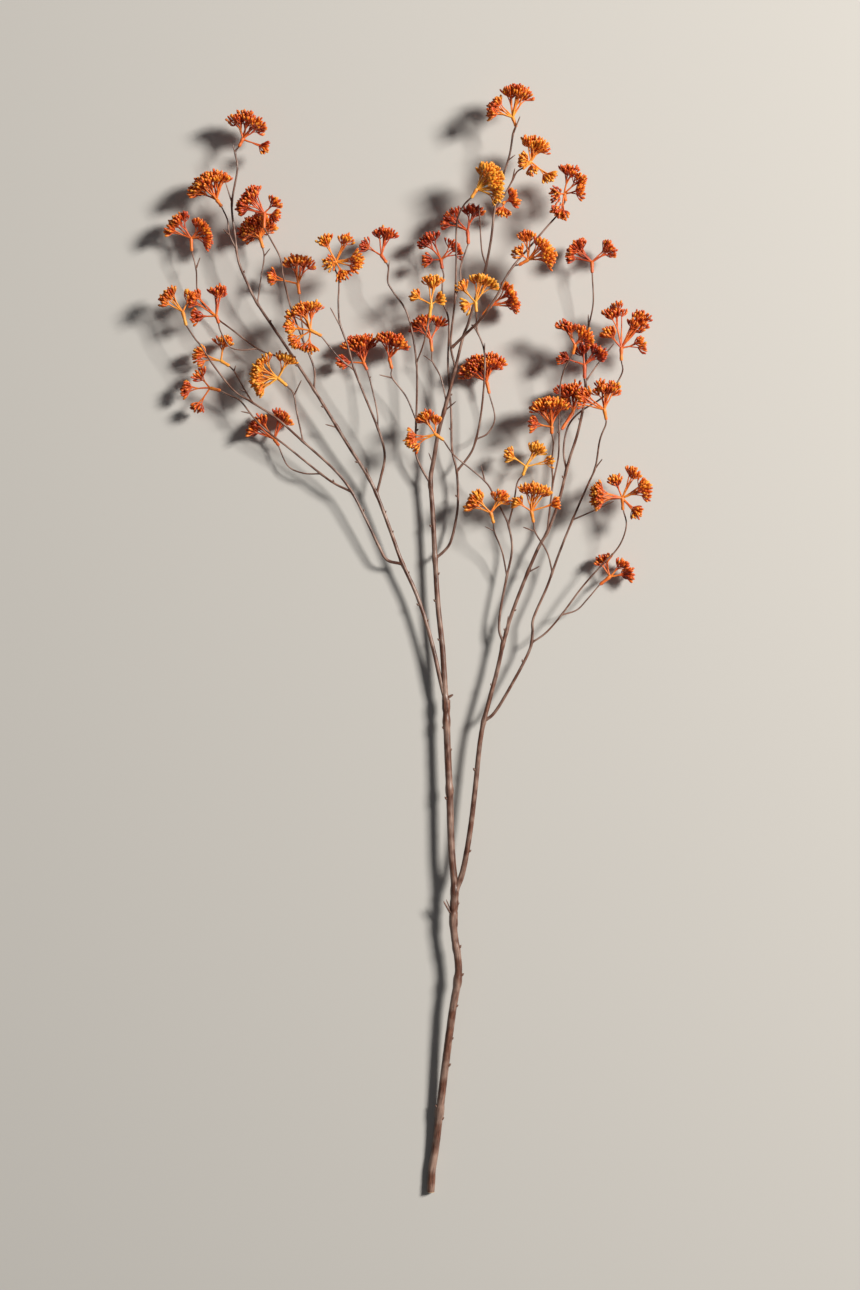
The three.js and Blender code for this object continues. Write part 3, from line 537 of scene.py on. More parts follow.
# %% The spurs
SPUR_RADIUS = 0.85
SPUR_TAPER = 0.35  # share of its radius that a spur loses along its way
SPUR_TIP = 0.55  # share of the radius left there that its blunt end keeps
SPUR_RISE = 2.0 * MM


def on_limb(column, row):
    """The nearest limb's middle, skin radius and direction under a column and a row."""
    best = None
    for a, b, radius in wood_segments:
        middle = (a + b) / 2
        sight = place((column, row, middle.z / MM))
        distance = (sight - middle).length - radius
        if best is None or distance < best[0]:
            best = (distance, middle, radius, (b - a).normalized(), sight)
    return best[1:]


def add_spur(points, radius):
    """Adds a spur that tapers to a blunt tip, and returns its segments."""
    last = len(points) - 1
    line, radii = bend(points, [radius * (1 - SPUR_TAPER * i / last) for i in range(last + 1)])
    radii[-1] *= SPUR_TIP
    thickness = [r * MM for r in radii]
    wood.add(line, thickness, chance.random())
    return zip(line[:-1], line[1:], thickness)


spur_segments = []
for points in spurs:
    spur_segments += add_spur(points, SPUR_RADIUS)
for foot, tip, radius in SMALL_SPURS:
    middle = on_limb(*foot)[0]
    end = place((*tip, middle.z / MM)) + Vector((0, 0, SPUR_RISE))
    halfway = middle.lerp(end, 0.5) + Vector((0, 0, SPUR_RISE / 3))
    spur_segments += add_spur([middle, halfway, end], radius)
print("stem steps with spurs", len(wood.points))

# %% The buds
BUD_LENGTH = 4.2 * MM
BUD_LENGTHS = (0.85, 1.15)  # shares of it, least and most
THIN_BUD, THICKER_BUD = 0.45, 0.55  # share of it on a thin limb, and what a thick one adds
THICK_LIMB = 3.2 * MM
BUD_LEAN = 1.0  # how far a bud leans along its limb
BUD_LIFT = 0.35  # how far it turns upwards
BUD_ROOT = 0.62  # of the limb's radius
for column, row in BUDS:
    middle, radius, along, sight = on_limb(column, row)
    outward = sight - middle
    outward = (outward - along * outward.dot(along)).normalized()
    outward = (outward + Vector((0, 0, BUD_LIFT))).normalized()
    direction = (outward + along * BUD_LEAN).normalized()
    share = THIN_BUD + THICKER_BUD * min(1, radius / THICK_LIMB)
    size = BUD_LENGTH * share * chance.uniform(*BUD_LENGTHS)
    wood.add_tip(middle + outward * radius * BUD_ROOT, direction, chance.random(), size)
wood_segments += spur_segments
print("stem points in all", len(wood.points))

# %% [markdown]
# ## A tube for every line
# The node tree turns each line into a curve, sweeps a circle along it at the line's own
# thickness, and pushes the skin in and out by a noise, so that the bark isn't a smooth pipe.
# It also writes where on the limb each point of the skin lies, as if the limb were straight,
# so that the bark's grain can follow every bend. On each loose tip it sets one bud.


# %% Short calls for any node tree
class Nodes:
    """The nodes of one tree. Sockets and plain values both serve as inputs."""

    def node(self, kind, inputs=None, **settings):
        node = self.tree.nodes.new(kind)
        for key, value in settings.items():
            setattr(node, key, value)
        for key, source in (inputs or {}).items():
            link(self.tree, source, node.inputs[key])
        return node

    def math(self, operation, *values, clamp=False):
        inputs = dict(enumerate(values))
        return self.node("ShaderNodeMath", inputs, operation=operation, use_clamp=clamp).outputs[0]


# %% Building blocks of a geometry tree
class Tree(Nodes):
    """A Geometry Nodes tree with named inputs."""

    def __init__(self, name, inputs):
        self.tree = bpy.data.node_groups.new(name, "GeometryNodeTree")
        self.tree.interface.new_socket("Geometry", in_out="INPUT", socket_type="NodeSocketGeometry")
        for key, (kind, default) in inputs.items():
            socket = self.tree.interface.new_socket(key, in_out="INPUT", socket_type=kind)
            if default is not None:
                socket.default_value = default
        self.tree.interface.new_socket("Geometry", in_out="OUTPUT", socket_type="NodeSocketGeometry")
        self.inputs = self.tree.nodes.new("NodeGroupInput").outputs
        self.output = self.tree.nodes.new("NodeGroupOutput").inputs["Geometry"]

    def read(self, name, kind="FLOAT"):
        node = self.node("GeometryNodeInputNamedAttribute", {"Name": name}, data_type=kind)
        return node.outputs["Attribute"]

    def store(self, geometry, name, value, kind="FLOAT", domain="POINT"):
        inputs = {"Geometry": geometry, "Name": name, "Value": value}
        node = self.node("GeometryNodeStoreNamedAttribute", inputs, data_type=kind, domain=domain)
        return node.outputs["Geometry"]

    def paint(self, geometry, material, where=True):
        inputs = {"Geometry": geometry, "Selection": where, "Material": material}
        return self.node("GeometryNodeSetMaterial", inputs).outputs["Geometry"]

    def split(self, geometry):
        """The loose tips, and the lines without them."""
        is_tip = self.math("GREATER_THAN", self.read("size"), 0.0)
        node = self.node("GeometryNodeSeparateGeometry", {"Geometry": geometry, "Selection": is_tip})
        return node.outputs["Selection"], node.outputs["Inverted"]

    def tube(self, lines, sides):
        """A circle swept along the lines at their thickness."""
        curves = self.node("GeometryNodeMeshToCurve", {"Mesh": lines}).outputs["Curve"]
        return self.sweep(curves, sides, self.read("thickness"))

    def sweep(self, curves, sides, thickness):
        spline = self.node("GeometryNodeSplineParameter")
        curves = self.store(curves, "distance", spline.outputs["Length"])
        circle = self.node("GeometryNodeCurvePrimitiveCircle", {"Resolution": sides, "Radius": 1.0})
        around = self.node("GeometryNodeSplineParameter")
        profile = self.store(circle.outputs["Curve"], "around", around.outputs["Factor"])
        sweep = {"Curve": curves, "Profile Curve": profile, "Scale": thickness, "Fill Caps": True}
        return self.node("GeometryNodeCurveToMesh", sweep).outputs["Mesh"]

    def teardrop(self, steps, sides, widths):
        """A body one unit long and at most one wide along Z, whose widths follow a curve."""
        line = self.node("GeometryNodeCurvePrimitiveLine", {"Start": (0, 0, 0), "End": (0, 0, 1)})
        line = self.node("GeometryNodeResampleCurve", {"Curve": line.outputs["Curve"], "Count": steps + 1})
        factor = self.node("GeometryNodeSplineParameter").outputs["Factor"]
        shape = self.node("ShaderNodeFloatCurve", {"Value": factor})
        points = shape.mapping.curves[0].points
        while len(points) < len(widths):
            points.new(0.5, 0.5)
        for point, (position, width) in zip(points, widths):
            point.location = (position, width)
        shape.mapping.update()
        marked = self.store(line.outputs["Curve"], "neck_to_tip", factor)
        return self.sweep(marked, sides, self.math("MULTIPLY", shape.outputs["Value"], 0.5))

    def on_tips(self, tips, shape, width):
        """One copy of the shape on each tip, along its direction, as long as its size."""
        turned = self.node("FunctionNodeAlignRotationToVector", {
            "Vector": self.read("direction", "FLOAT_VECTOR"),
        }, axis="Z")
        length = self.read("size")
        scale = self.node("ShaderNodeCombineXYZ", {"X": width, "Y": width, "Z": length})
        inputs = {
            "Points": tips, "Instance": shape,
            "Rotation": turned.outputs["Rotation"], "Scale": scale.outputs["Vector"],
        }
        return self.node("GeometryNodeInstanceOnPoints", inputs).outputs["Instances"]

    def finish(self, *pieces):
        """Ends the tree: one real geometry with smooth shading."""
        joined = self.node("GeometryNodeJoinGeometry")
        for piece in pieces:
            self.tree.links.new(piece, joined.inputs["Geometry"])
        smooth = self.node("GeometryNodeSetShadeSmooth", {"Geometry": joined.outputs["Geometry"]})
        real = self.node("GeometryNodeRealizeInstances", {"Geometry": smooth.outputs["Geometry"]})
        return real.outputs["Geometry"]


def dress(name, mesh, tree, values):
    """A plain mesh object made by the tree from a mesh of lines."""
    source = bpy.data.objects.new(name + "_lines", mesh)
    bpy.context.scene.collection.objects.link(source)
    modifier = source.modifiers.new("flesh", "NODES")
    modifier.node_group = tree
    for item in tree.interface.items_tree:
        if item.in_out == "INPUT" and item.name in values:
            modifier[item.identifier] = values[item.name]
    depsgraph = bpy.context.evaluated_depsgraph_get()
    result = bpy.data.meshes.new_from_object(source.evaluated_get(depsgraph))
    result.name = name
    bpy.data.objects.remove(source)
    piece = bpy.data.objects.new(name, result)
    bpy.context.scene.collection.objects.link(piece)
    return piece


# %% The bark tree
BUD_WIDTHS = [(0.0, 0.62), (0.25, 0.95), (0.45, 1.0), (0.75, 0.62), (1.0, 0.12)]
bark_tree = Tree("bark tube", {
    "Sides": ("NodeSocketInt", 12),
    "Gnarl": ("NodeSocketFloat", 0.09),
    "Gnarl Scale": ("NodeSocketFloat", 150.0),
    "Bud Width": ("NodeSocketFloat", 0.62),
    "Material": ("NodeSocketMaterial", None),
})
t = bark_tree
bud_points, limb_lines = t.split(t.inputs["Geometry"])
skin = t.tube(limb_lines, t.inputs["Sides"])
turn = t.math("MULTIPLY", t.read("around"), math.tau)
radius = t.read("thickness")
grain = t.node("ShaderNodeCombineXYZ", {
    "X": t.math("MULTIPLY", t.math("COSINE", turn), radius),
    "Y": t.math("MULTIPLY", t.math("SINE", turn), radius),
    "Z": t.math("ADD", t.read("distance"), t.read("own")),
}).outputs["Vector"]
skin = t.store(skin, "grain", grain, kind="FLOAT_VECTOR")
noise = t.node("ShaderNodeTexNoise", {
    "Vector": t.read("grain", "FLOAT_VECTOR"), "Scale": t.inputs["Gnarl Scale"], "Detail": 2.0,
})
height = t.math("MULTIPLY", t.math("SUBTRACT", noise.outputs[0], 0.5), 2.0)
height = t.math("MULTIPLY", t.math("MULTIPLY", height, t.inputs["Gnarl"]), radius)
normal = t.node("GeometryNodeInputNormal").outputs["Normal"]
push = t.node("ShaderNodeVectorMath", {0: normal, "Scale": height}, operation="SCALE")
skin = t.node("GeometryNodeSetPosition", {"Geometry": skin, "Offset": push.outputs["Vector"]})
bud = t.teardrop(5, 7, BUD_WIDTHS)
buds = t.on_tips(bud_points, bud, t.math("MULTIPLY", t.read("size"), t.inputs["Bud Width"]))
whole = t.finish(skin.outputs["Geometry"], buds)
t.tree.links.new(t.paint(whole, t.inputs["Material"]), t.output)
print("bark tree nodes", len(t.tree.nodes))

# %% [markdown]
# ## Bark
# The bark is dark brown, almost purple in the shade. Pale grey-pink patches lie on it in
# streaks along the grain: partly the bark's own grey-pink, partly a painted highlight. Fine
# cracks and small pale pores finish it. The cut foot shows pale wood.


# %% Short calls for shaders
class Shader(Nodes):
    """The nodes of one material or one shader group."""

    def __init__(self, tree):
        self.tree = tree

    def mark(self, name, output="Fac"):
        return self.node("ShaderNodeAttribute", attribute_name=name).outputs[output]

    def scaled(self, value, factor, offset):
        return self.math("ADD", self.math("MULTIPLY", value, factor), offset)

    def above(self, value, start, steepness):
        """0 below the start, and rising to 1 over it."""
        return self.math("MULTIPLY", self.math("SUBTRACT", value, start), steepness, clamp=True)

    def noise(self, vector, scale, detail=3.0):
        inputs = {"Vector": vector, "Scale": scale, "Detail": detail}
        return self.node("ShaderNodeTexNoise", inputs).outputs[0]

    def ramp(self, factor, stops):
        node = self.node("ShaderNodeValToRGB", {"Fac": factor})
        elements = node.color_ramp.elements
        while len(elements) < len(stops):
            elements.new(0.5)
        for element, (position, colour) in zip(elements, stops):
            element.position = position
            element.color = (*colour, 1)
        return node.outputs["Color"]

    def mix(self, factor, a, b):
        return self.node("ShaderNodeMix", {0: factor, 6: a, 7: b}, data_type="RGBA").outputs[2]

    def bump(self, height, strength, distance):
        inputs = {"Height": height, "Strength": strength, "Distance": distance}
        return self.node("ShaderNodeBump", inputs).outputs["Normal"]


# %% The bark material
DARK_BARK = (0.045, 0.017, 0.012)
BROWN_BARK = (0.13, 0.052, 0.033)
WARM_BARK = (0.26, 0.115, 0.072)
# the pale grey-pink of the patches: partly the bark's own colour, partly a painted highlight
BLOOM_AND_HIGHLIGHT = (0.46, 0.32, 0.26, 1)
PORE = (0.52, 0.38, 0.3, 1)
CUT_WOOD = (0.52, 0.38, 0.24, 1)
CUT_AT = place(STEM["main"][2][0]).y + 0.4 * MM  # Y of the cut face, with a little room
STREAK_SCALE = (1, 1, 0.12)  # streaks are long along the limb
BARK_RELIEF = 0.4 * MM


def bark_material():
    """Brown streaks, pale grey-pink patches on them that are partly painted highlight, pale pores, fine
    cracks and the cut foot.
    """
    material, tree, shader = new_material("bark")
    s = Shader(tree)
    grain = s.mark("grain", "Vector")
    stretched = s.node("ShaderNodeMapping", {"Vector": grain, "Scale": STREAK_SCALE}).outputs["Vector"]
    streaks = s.noise(stretched, scale=620, detail=4)
    patches = s.noise(grain, scale=55, detail=2)
    cracks = s.noise(stretched, scale=1900, detail=3)
    pores = s.noise(grain, scale=900, detail=1)
    brown = s.ramp(streaks, [(0.3, DARK_BARK), (0.52, BROWN_BARK), (0.75, WARM_BARK)])
    # pale patches at random along the streaks: partly the bark's own grey-pink, partly painted highlight
    bloom_and_highlight = s.math("MULTIPLY", s.above(patches, 0.44, 5.0), s.scaled(streaks, 0.9, 0.05))
    colour = s.mix(bloom_and_highlight, brown, BLOOM_AND_HIGHLIGHT)
    spots = s.math("MULTIPLY", s.above(pores, 0.68, 9.0), 0.5)
    colour = s.mix(spots, colour, PORE)
    position = s.node("ShaderNodeSeparateXYZ", {0: s.node("ShaderNodeTexCoord").outputs["Object"]})
    cut = s.math("LESS_THAN", position.outputs["Y"], CUT_AT)
    tree.links.new(s.mix(cut, colour, CUT_WOOD), shader.inputs["Base Color"])
    tree.links.new(s.scaled(streaks, 0.3, 0.24), shader.inputs["Roughness"])
    relief = s.scaled(cracks, 0.5, streaks)
    tree.links.new(s.bump(relief, 0.6, BARK_RELIEF), shader.inputs["Normal"])
    return material


stem = dress("woody_stem_bark", wood.mesh("woody_stem_lines"), bark_tree.tree, {
    "Sides": 12, "Material": bark_material(),
})
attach(stem, "root")
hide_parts("woody_stem")
print("bark faces", len(stem.data.polygons), "box", [round(v, 4) for v in stem.bound_box[0]])

# %% [markdown]
# ## A berry head's rule
# A head is a compound umbel. A few rays leave the end of a short fleshy stalk, fork, and end
# in umbellets: small tufts of clubs, each a pedicel with one long slim berry. Most heads have
# parted into lobes with gaps between them, and the lobes were read off the picture. Within a
# lobe the umbellets spread over a shallow dome by the golden angle, the turn that plants use:
# each next one turns by 137.5 degrees, which spreads any number evenly. The clubs of an
# umbellet follow the same rule. Many heads are open in the middle, where the rays show, so
# each has its fullness. A full head has more umbellets, and they stand at several depths.

# %% Where the heads are, how ripe they are and what lobes they have
# foot of the stalk, fork, height of the crown, tone from 0 red to 1 yellow, share of the
# umbellets near the fork that have grown, and for each lobe which way it grows in degrees
# from the right, how wide it opens to each side in degrees, and how far it reaches in mm
HEADS = {
    1: [[239.5, 145.5, 30], [242.8, 139, 30], 31, 0.35, 0.5, [[75, 60, 30], [-22, 18, 32]]],
    2: [[221, 205.7, 30], [216.7, 199.9, 30], 31, 0.45, 0.3, [[114, 64, 32]]],
    3: [[191.6, 250, 24], [191, 238.3, 24], 24, 0.35, 0.35, [[138, 42, 30], [28, 56, 24]]],
    4: [[264, 226.8, 48], [264.4, 213.5, 47], 48, 0.3, 0.6,
        [[140, 48, 32], [50, 22, 24], [-15, 25, 18]]],
    5: [[262.7, 247, 20], [260, 238, 19], 18, 0.55, 0.8, [[110, 80, 26]]],
    6: [[299.2, 293, 20], [298, 283.9, 20], 19, 0.45, 0.35, [[84, 39, 31], [167, 19, 33]]],
    7: [[334.5, 265.3, 42], [336, 261.5, 43], 56, 0.7, 0.5,
        [[120, 21, 31], [66, 21, 33], [0, 36, 26], [-62, 20, 19], [190, 30, 11]]],
    8: [[385.9, 261.8, 32], [381.4, 255.6, 32], 32, 0.3, 0.6, [[80, 32, 31], [150, 20, 27]]],
    9: [[320.7, 335.5, 44], [310.5, 330.4, 45], 44, 0.65, 0.5,
        [[105, 46, 31], [172, 24, 29], [215, 19, 27], [262, 19, 25]]],
    10: [[185.9, 324.4, 33], [182.7, 312.1, 33], 33, 0.75, 0.4, [[135, 31, 29], [65, 19, 25]]],
    11: [[218.4, 322.3, 30], [216.2, 315.9, 30], 30, 0.3, 0.5,
        [[86, 27, 33], [138, 20, 37], [182, 14, 27]]],
    12: [[228.5, 365.5, 16], [221, 361, 16], 17, 0.55, 0.5, [[80, 26, 28], [165, 28, 30]]],
    13: [[219.5, 390.5, 20], [210, 388, 19], 18, 0.4, 0.5,
        [[178, 19, 31], [237, 19, 30], [130, 22, 25]]],
    14: [[286.1, 385.2, 29], [278.1, 378.3, 29], 30, 0.9, 0.3, [[172, 62, 30], [64, 31, 28]]],
    15: [[278.2, 444.8, 12], [274.2, 439.2, 12], 12, 0.3, 0.8, [[140, 37, 32], [70, 27, 34]]],
    16: [[366.6, 368.9, 17], [363.8, 363.3, 17], 16, 0.3, 0.95, [[100, 46, 32], [175, 12, 29]]],
    17: [[391.6, 367.8, 23.7], [389.3, 358.7, 24], 24, 0.3, 0.6, [[75, 55, 29]]],
    18: [[515.9, 126, 38], [512.7, 117.5, 38], 40, 0.6, 0.6, [[153, 36, 30], [80, 38, 36]]],
    19: [[524.4, 167.1, 40], [530.8, 161.7, 40], 43, 0.75, 0.9,
        [[72, 44, 29], [-38, 17, 33], [170, 30, 11], [-80, 16, 12]]],
    20: [[565.5, 200.1, 34], [564.4, 193.7, 35], 47, 0.35, 0.5,
        [[80, 25, 32], [44, 15, 30], [12, 23, 22], [180, 26, 13], [262, 23, 26]]],
    21: [[471.9, 196.9, 48], [476.7, 189.5, 48], 54, 0.95, 1.0, [[50, 42, 33], [0, 34, 31]]],
    22: [[503, 203.6, 23.5], [504, 202.5, 22], 21, 0.4, 0.9, [[28, 34, 18], [-100, 28, 16]]],
    23: [[468.3, 242.7, 26], [467.5, 230.9, 25], 24, 0.2, 0.3, [[146, 32, 29], [75, 32, 28]]],
    24: [[442.2, 267.7, 26], [440.8, 259.7, 25], 24, 0.15, 0.3,
        [[122, 29, 31], [180, 22, 21], [38, 31, 26]]],
    25: [[429.5, 316.5, 38], [431.2, 304.5, 39], 38, 0.9, 0.6,
        [[86, 25, 31], [150, 14, 28], [35, 25, 17]]],
    26: [[476.3, 310.6, 38], [475.5, 302.4, 38], 36, 0.9, 0.3,
        [[70, 36, 31], [134, 18, 30], [200, 12, 18]]],
    27: [[483.4, 314.4, 27], [491, 305.2, 26], 24, 0.35, 0.3, [[18, 45, 31]]],
    28: [[431.9, 350.4, 21], [430.7, 339.7, 21], 19, 0.3, 0.5, [[122, 42, 28], [64, 20, 28]]],
    29: [[519.8, 264.5, 46.5], [528.3, 259.7, 47], 57, 0.65, 0.6,
        [[95, 24, 32], [30, 50, 30], [140, 18, 20]]],
    30: [[489, 392.4, 15], [486.8, 382.1, 15], 15, 0.3, 0.9, [[109, 66, 32]]],
    31: [[442.6, 439.4, 38], [435.2, 434.3, 39], 39, 0.55, 0.5,
        [[125, 30, 28], [195, 25, 33], [86, 14, 22]]],
    32: [[592.1, 271.6, 26], [591.8, 262, 25], 24, 0.25, 0.5, [[142, 40, 29], [36, 30, 29]]],
    33: [[621.3, 359.5, 32], [621.3, 348.1, 32], 33, 0.35, 1.0,
        [[98, 15, 49], [57, 25, 46], [128, 24, 29], [12, 20, 28]]],
    34: [[584.5, 377.4, 28], [584.5, 365.1, 28], 27, 0.15, 0.6,
        [[160, 17, 30], [42, 35, 27], [95, 20, 24]]],
    35: [[573, 353.2, 42], [575, 345, 43], 45, 0.35, 0.9, [[115, 21, 30], [45, 39, 23]]],
    36: [[551.7, 432.6, 36], [551.6, 426.7, 37], 38, 0.45, 0.4, [[100, 56, 33], [172, 13, 30]]],
    37: [[606, 418.6, 38.5], [604.3, 409.7, 40], 42, 0.45, 0.8, [[85, 37, 32], [150, 28, 36]]],
    38: [[562.4, 428.4, 24], [573, 412.5, 21], 17, 0.35, 0.9, [[88, 42, 32]]],
    39: [[523.2, 474.3, 24], [526, 466.4, 24], 24, 1.0, 0.5,
        [[142, 21, 28], [58, 30, 29], [13, 17, 33]]],
    40: [[493.3, 522, 32], [490.7, 512.7, 33], 33, 0.75, 0.7, [[142, 33, 29], [55, 29, 28]]],
    41: [[533.3, 521.3, 34], [531.3, 511.3, 35], 36, 0.6, 0.4,
        [[78, 43, 31], [20, 14, 32], [147, 17, 25]]],
    42: [[622.9, 508.9, 30], [622.4, 498.1, 31], 42, 0.45, 0.5,
        [[175, 33, 33], [108, 21, 28], [68, 17, 37], [25, 28, 33], [-45, 22, 27]]],
    43: [[600.7, 584, 14], [610, 576.7, 14], 15, 0.35, 0.8,
        [[112, 28, 27], [50, 19, 26], [10, 27, 27]]],
}
print("heads", len(HEADS), "lobes", sum(len(head[-1]) for head in HEADS.values()))

# %% The dome of a lobe
GOLDEN_TURN = math.pi * (3 - math.sqrt(5))
HEAD_FLATNESS = 0.62  # a head's rise over its fork, as a share of a round one's
UMBELLET_ANGLE = math.radians(12)  # an umbellet opens so far beyond its own hub
NARROWEST = math.radians(9)  # spread of the hubs
JITTER = 0.1  # radians out of place, at most


class Dome:
    """Where a lobe's fork and crown are, and the points over its dome."""

    def __init__(self, fork_at, crown_height, turn, spread, reach):
        turn = math.radians(turn)
        crown_at = (fork_at[0] + reach * math.cos(turn), fork_at[1] - reach * math.sin(turn), crown_height)
        self.fork, crown = place(fork_at), place(crown_at)
        self.reach = (crown - self.fork).length
        self.axis = (crown - self.fork).normalized()
        self.side = Vector((0, 0, 1)).cross(self.axis).normalized()
        self.up = self.axis.cross(self.side)
        spread = math.radians(spread)
        self.spread = max(NARROWEST, spread - UMBELLET_ANGLE)
        self.area = math.tau * (self.reach / MM) ** 2 * (1 - math.cos(spread)) * HEAD_FLATNESS
        self.phase = 0.0

    def at(self, tilt, turn, share):
        """The point at a tilt from the axis, a turn about it and a share of the reach."""
        point = (
            self.axis * math.cos(tilt)
            + self.side * (math.sin(tilt) * math.cos(turn))
            + self.up * (math.sin(tilt) * math.sin(turn))
        ) * (self.reach * share)
        point.z *= HEAD_FLATNESS
        return self.fork + point

    def spread_out(self, count, share, chance, depth):
        """Evenly spread points over the dome, a little out of place and not all on top."""
        for i in range(count):
            tilt = math.acos(1 - (i + 0.5) / count * (1 - math.cos(self.spread)))
            tilt += JITTER * chance.uniform(-1, 1)
            turn = i * GOLDEN_TURN + self.phase + JITTER * chance.uniform(-1, 1)
            yield self.at(tilt, turn, share * (1 - depth * chance.random()))


print("each umbellet turns by", round(math.degrees(GOLDEN_TURN), 1), "degrees from the last")

# %% Keeping clear of the wood
MEASURED_AT = np.linspace(0.25, 1, 4)  # shares of a line
WOOD_START = np.array([a for a, _, _ in wood_segments])
WOOD_VECTOR = np.array([b for _, b, _ in wood_segments]) - WOOD_START
WOOD_LENGTH = np.maximum((WOOD_VECTOR ** 2).sum(1), 1e-12)
WOOD_RADIUS = np.array([r for _, _, r in wood_segments])


def clear_of_wood(a, b, room):
    """True if the line from a to b stays that far from the skin of every limb."""
    for along in MEASURED_AT:
        point = np.array(a.lerp(b, along))
        share = np.clip(((point - WOOD_START) * WOOD_VECTOR).sum(1) / WOOD_LENGTH, 0, 1)
        gap = np.linalg.norm(WOOD_START + WOOD_VECTOR * share[:, None] - point, axis=1) - WOOD_RADIUS
        if gap.min() < room:
            return False
    return True


print("wood segments to keep clear of", len(WOOD_START))

# %% Sizes inside a head
UMBELLET_ROOM = 84.0  # square mm of the dome
UMBELLETS_PER_RAY = 2.6
FEWEST = 3  # umbellets in a lobe
UMBELLET_REACH = 10.0 * MM
UMBELLET_REACHES = (0.8, 1.1)  # shares of it, least and most
UMBELLET_SPREAD = math.radians(46)
FIRST_CLUB = 0.4  # steps from an umbellet's axis
CLUBS = (8, 14)  # in an umbellet, fewest and most
LOWEST_HUB = 0.35  # of a lobe's reach, at least
MIDDLE_SHARE = 0.7  # of a lobe's reach: umbellets nearer its fork may be missing
LAYERS = 0.6  # a full head has that share of umbellets more, at other depths
DEPTH = 0.42  # of the reach, in a full head
SMALL_LOBE_DEPTH = 0.3  # and in a lobe with the fewest umbellets
KNEE_SHARE = 0.55  # of the way from the fork to the umbellets
KNEE_SHARES = (0.85, 1.12)  # shares of that, least and most
KNEE_HEIGHT, KNEE_DEPTH = 0.5, 0.1  # of a lobe's reach, where its rays are told apart
BOW = 0.02  # of a lobe's reach
RAY_ROOM = 1.0 * MM  # between a ray and the bark, at least
CLEAR_FROM = 0.3  # of a ray's length, from where it has to keep that room

# %% Thicknesses in mm, from foot to end, and where each line lies from 0, foot, to 1, berries
STALK_RADIUS = 1.6
STALK_WIDTHS = (0.85, 1.12, 0.96, 1.02, 1.12, 1.25, 0.8)  # shares of it
STALK_JITTER = (0.93, 1.07)
STALK_ROOT, STALK_HEAD = 1.2, 0.9  # mm that it reaches into the twig and past the fork
RAY_RADII = (0.95, 0.78)
FORK_RADII = (0.66, 0.54)
PEDICEL_RADII = (0.44, 0.46)
STALK_END = 0.1
RAY_PLACE, FORK_PLACE, PEDICEL_PLACE = (0.12, 0.4), (0.4, 0.7), (0.7, 1.0)

# %% The berries' sizes
BERRY_LENGTH = 5.4 * MM
BERRY_LENGTHS = (0.86, 1.1)  # shares of it, least and most
BERRY_WIDTH = 2.4 * MM
BERRY_GAP = 1.95 * MM  # between two tips, at least
SUNK_NECK = 0.12  # of a berry's length that its pedicel reaches into it
CLUB_LEAN = 0.5  # how far a berry leans from its pedicel's way to the umbellet's axis
LOWEST_BERRY = BERRY_WIDTH * 0.56  # so that the lowest ones lie on the floor
HIGHEST_BERRY = CAD_BOX[1][2] - 0.3 * MM  # so that the sprig stays as low as its solids


def nearest(point, others):
    """The one of the others that is nearest to the point."""
    return min(others, key=lambda other: (other - point).length)


def tuft(axis, count, spread, phase):
    """Directions of the clubs in an umbellet, spread round its axis by the golden angle."""
    side = axis.orthogonal().normalized()
    up = axis.cross(side)
    for i in range(count):
        tilt = spread * math.sqrt((i + FIRST_CLUB) / count)
        turn = phase + i * GOLDEN_TURN
        yield axis * math.cos(tilt) + (side * math.cos(turn) + up * math.sin(turn)) * math.sin(tilt)


# %% Lines and stalk of a head
SWAY = 0.03  # share of a line's length


def add_curve(lines, a, b, radii, along, bow, tone, chance, steps=4):
    """A bowed line between two points, a little out of the straight by chance."""
    sway = Vector([chance.uniform(-1, 1) for _ in range(3)]) * SWAY * (b - a).length
    shares = [i / steps for i in range(steps + 1)]
    points = [a.lerp(b, share) + (bow + sway) * math.sin(share * math.pi) for share in shares]
    thickness = [(radii[0] + (radii[1] - radii[0]) * share) * MM for share in shares]
    points = [Vector((p.x, p.y, max(p.z, t))) for p, t in zip(points, thickness)]
    lines.add(points, thickness, tone, [along[0] + (along[1] - along[0]) * share for share in shares])


def add_stalk(lines, foot, fork, tone, chance):
    """The knobbly stalk from a twig's end to the fork."""
    stalk = (fork - foot).normalized()
    start, end = foot - stalk * STALK_ROOT * MM, fork + stalk * STALK_HEAD * MM
    last = len(STALK_WIDTHS) - 1
    points = [start.lerp(end, i / last) for i in range(last + 1)]
    widths = [STALK_RADIUS * width * chance.uniform(*STALK_JITTER) * MM for width in STALK_WIDTHS]
    lines.add(points, widths, tone, [STALK_END * i / last for i in range(last + 1)])


# %% Growing an umbellet
berry_tips = np.empty((0, 3))  # of all the heads, so that berries of two heads keep apart too


def grow_umbellet(lines, hub, axis, tone, chance):
    """Adds the clubs on one hub, and returns how many of them found room."""
    global berry_tips
    grown = 0
    phase = chance.uniform(0, math.tau)
    for direction in tuft(axis, chance.randint(*CLUBS), UMBELLET_SPREAD, phase):
        tip = hub + direction * UMBELLET_REACH * chance.uniform(*UMBELLET_REACHES)
        direction = (direction + axis * CLUB_LEAN).normalized()
        length = BERRY_LENGTH * chance.uniform(*BERRY_LENGTHS)
        neck = tip - direction * length
        lift = max(0, LOWEST_BERRY - min(tip.z, neck.z)) - max(0, tip.z - HIGHEST_BERRY)
        tip.z += lift
        neck.z += lift
        crowded = (np.linalg.norm(berry_tips - np.array(tip), axis=1) < BERRY_GAP).any()
        if crowded or not clear_of_wood(hub, tip, BERRY_WIDTH / 2):
            continue
        berry_tips = np.vstack([berry_tips, tip])
        end = neck.lerp(tip, SUNK_NECK)
        add_curve(lines, hub, end, PEDICEL_RADII, PEDICEL_PLACE, Vector(), tone, chance, steps=2)
        lines.add_tip(neck, direction, tone, length)
        grown += 1
    return grown


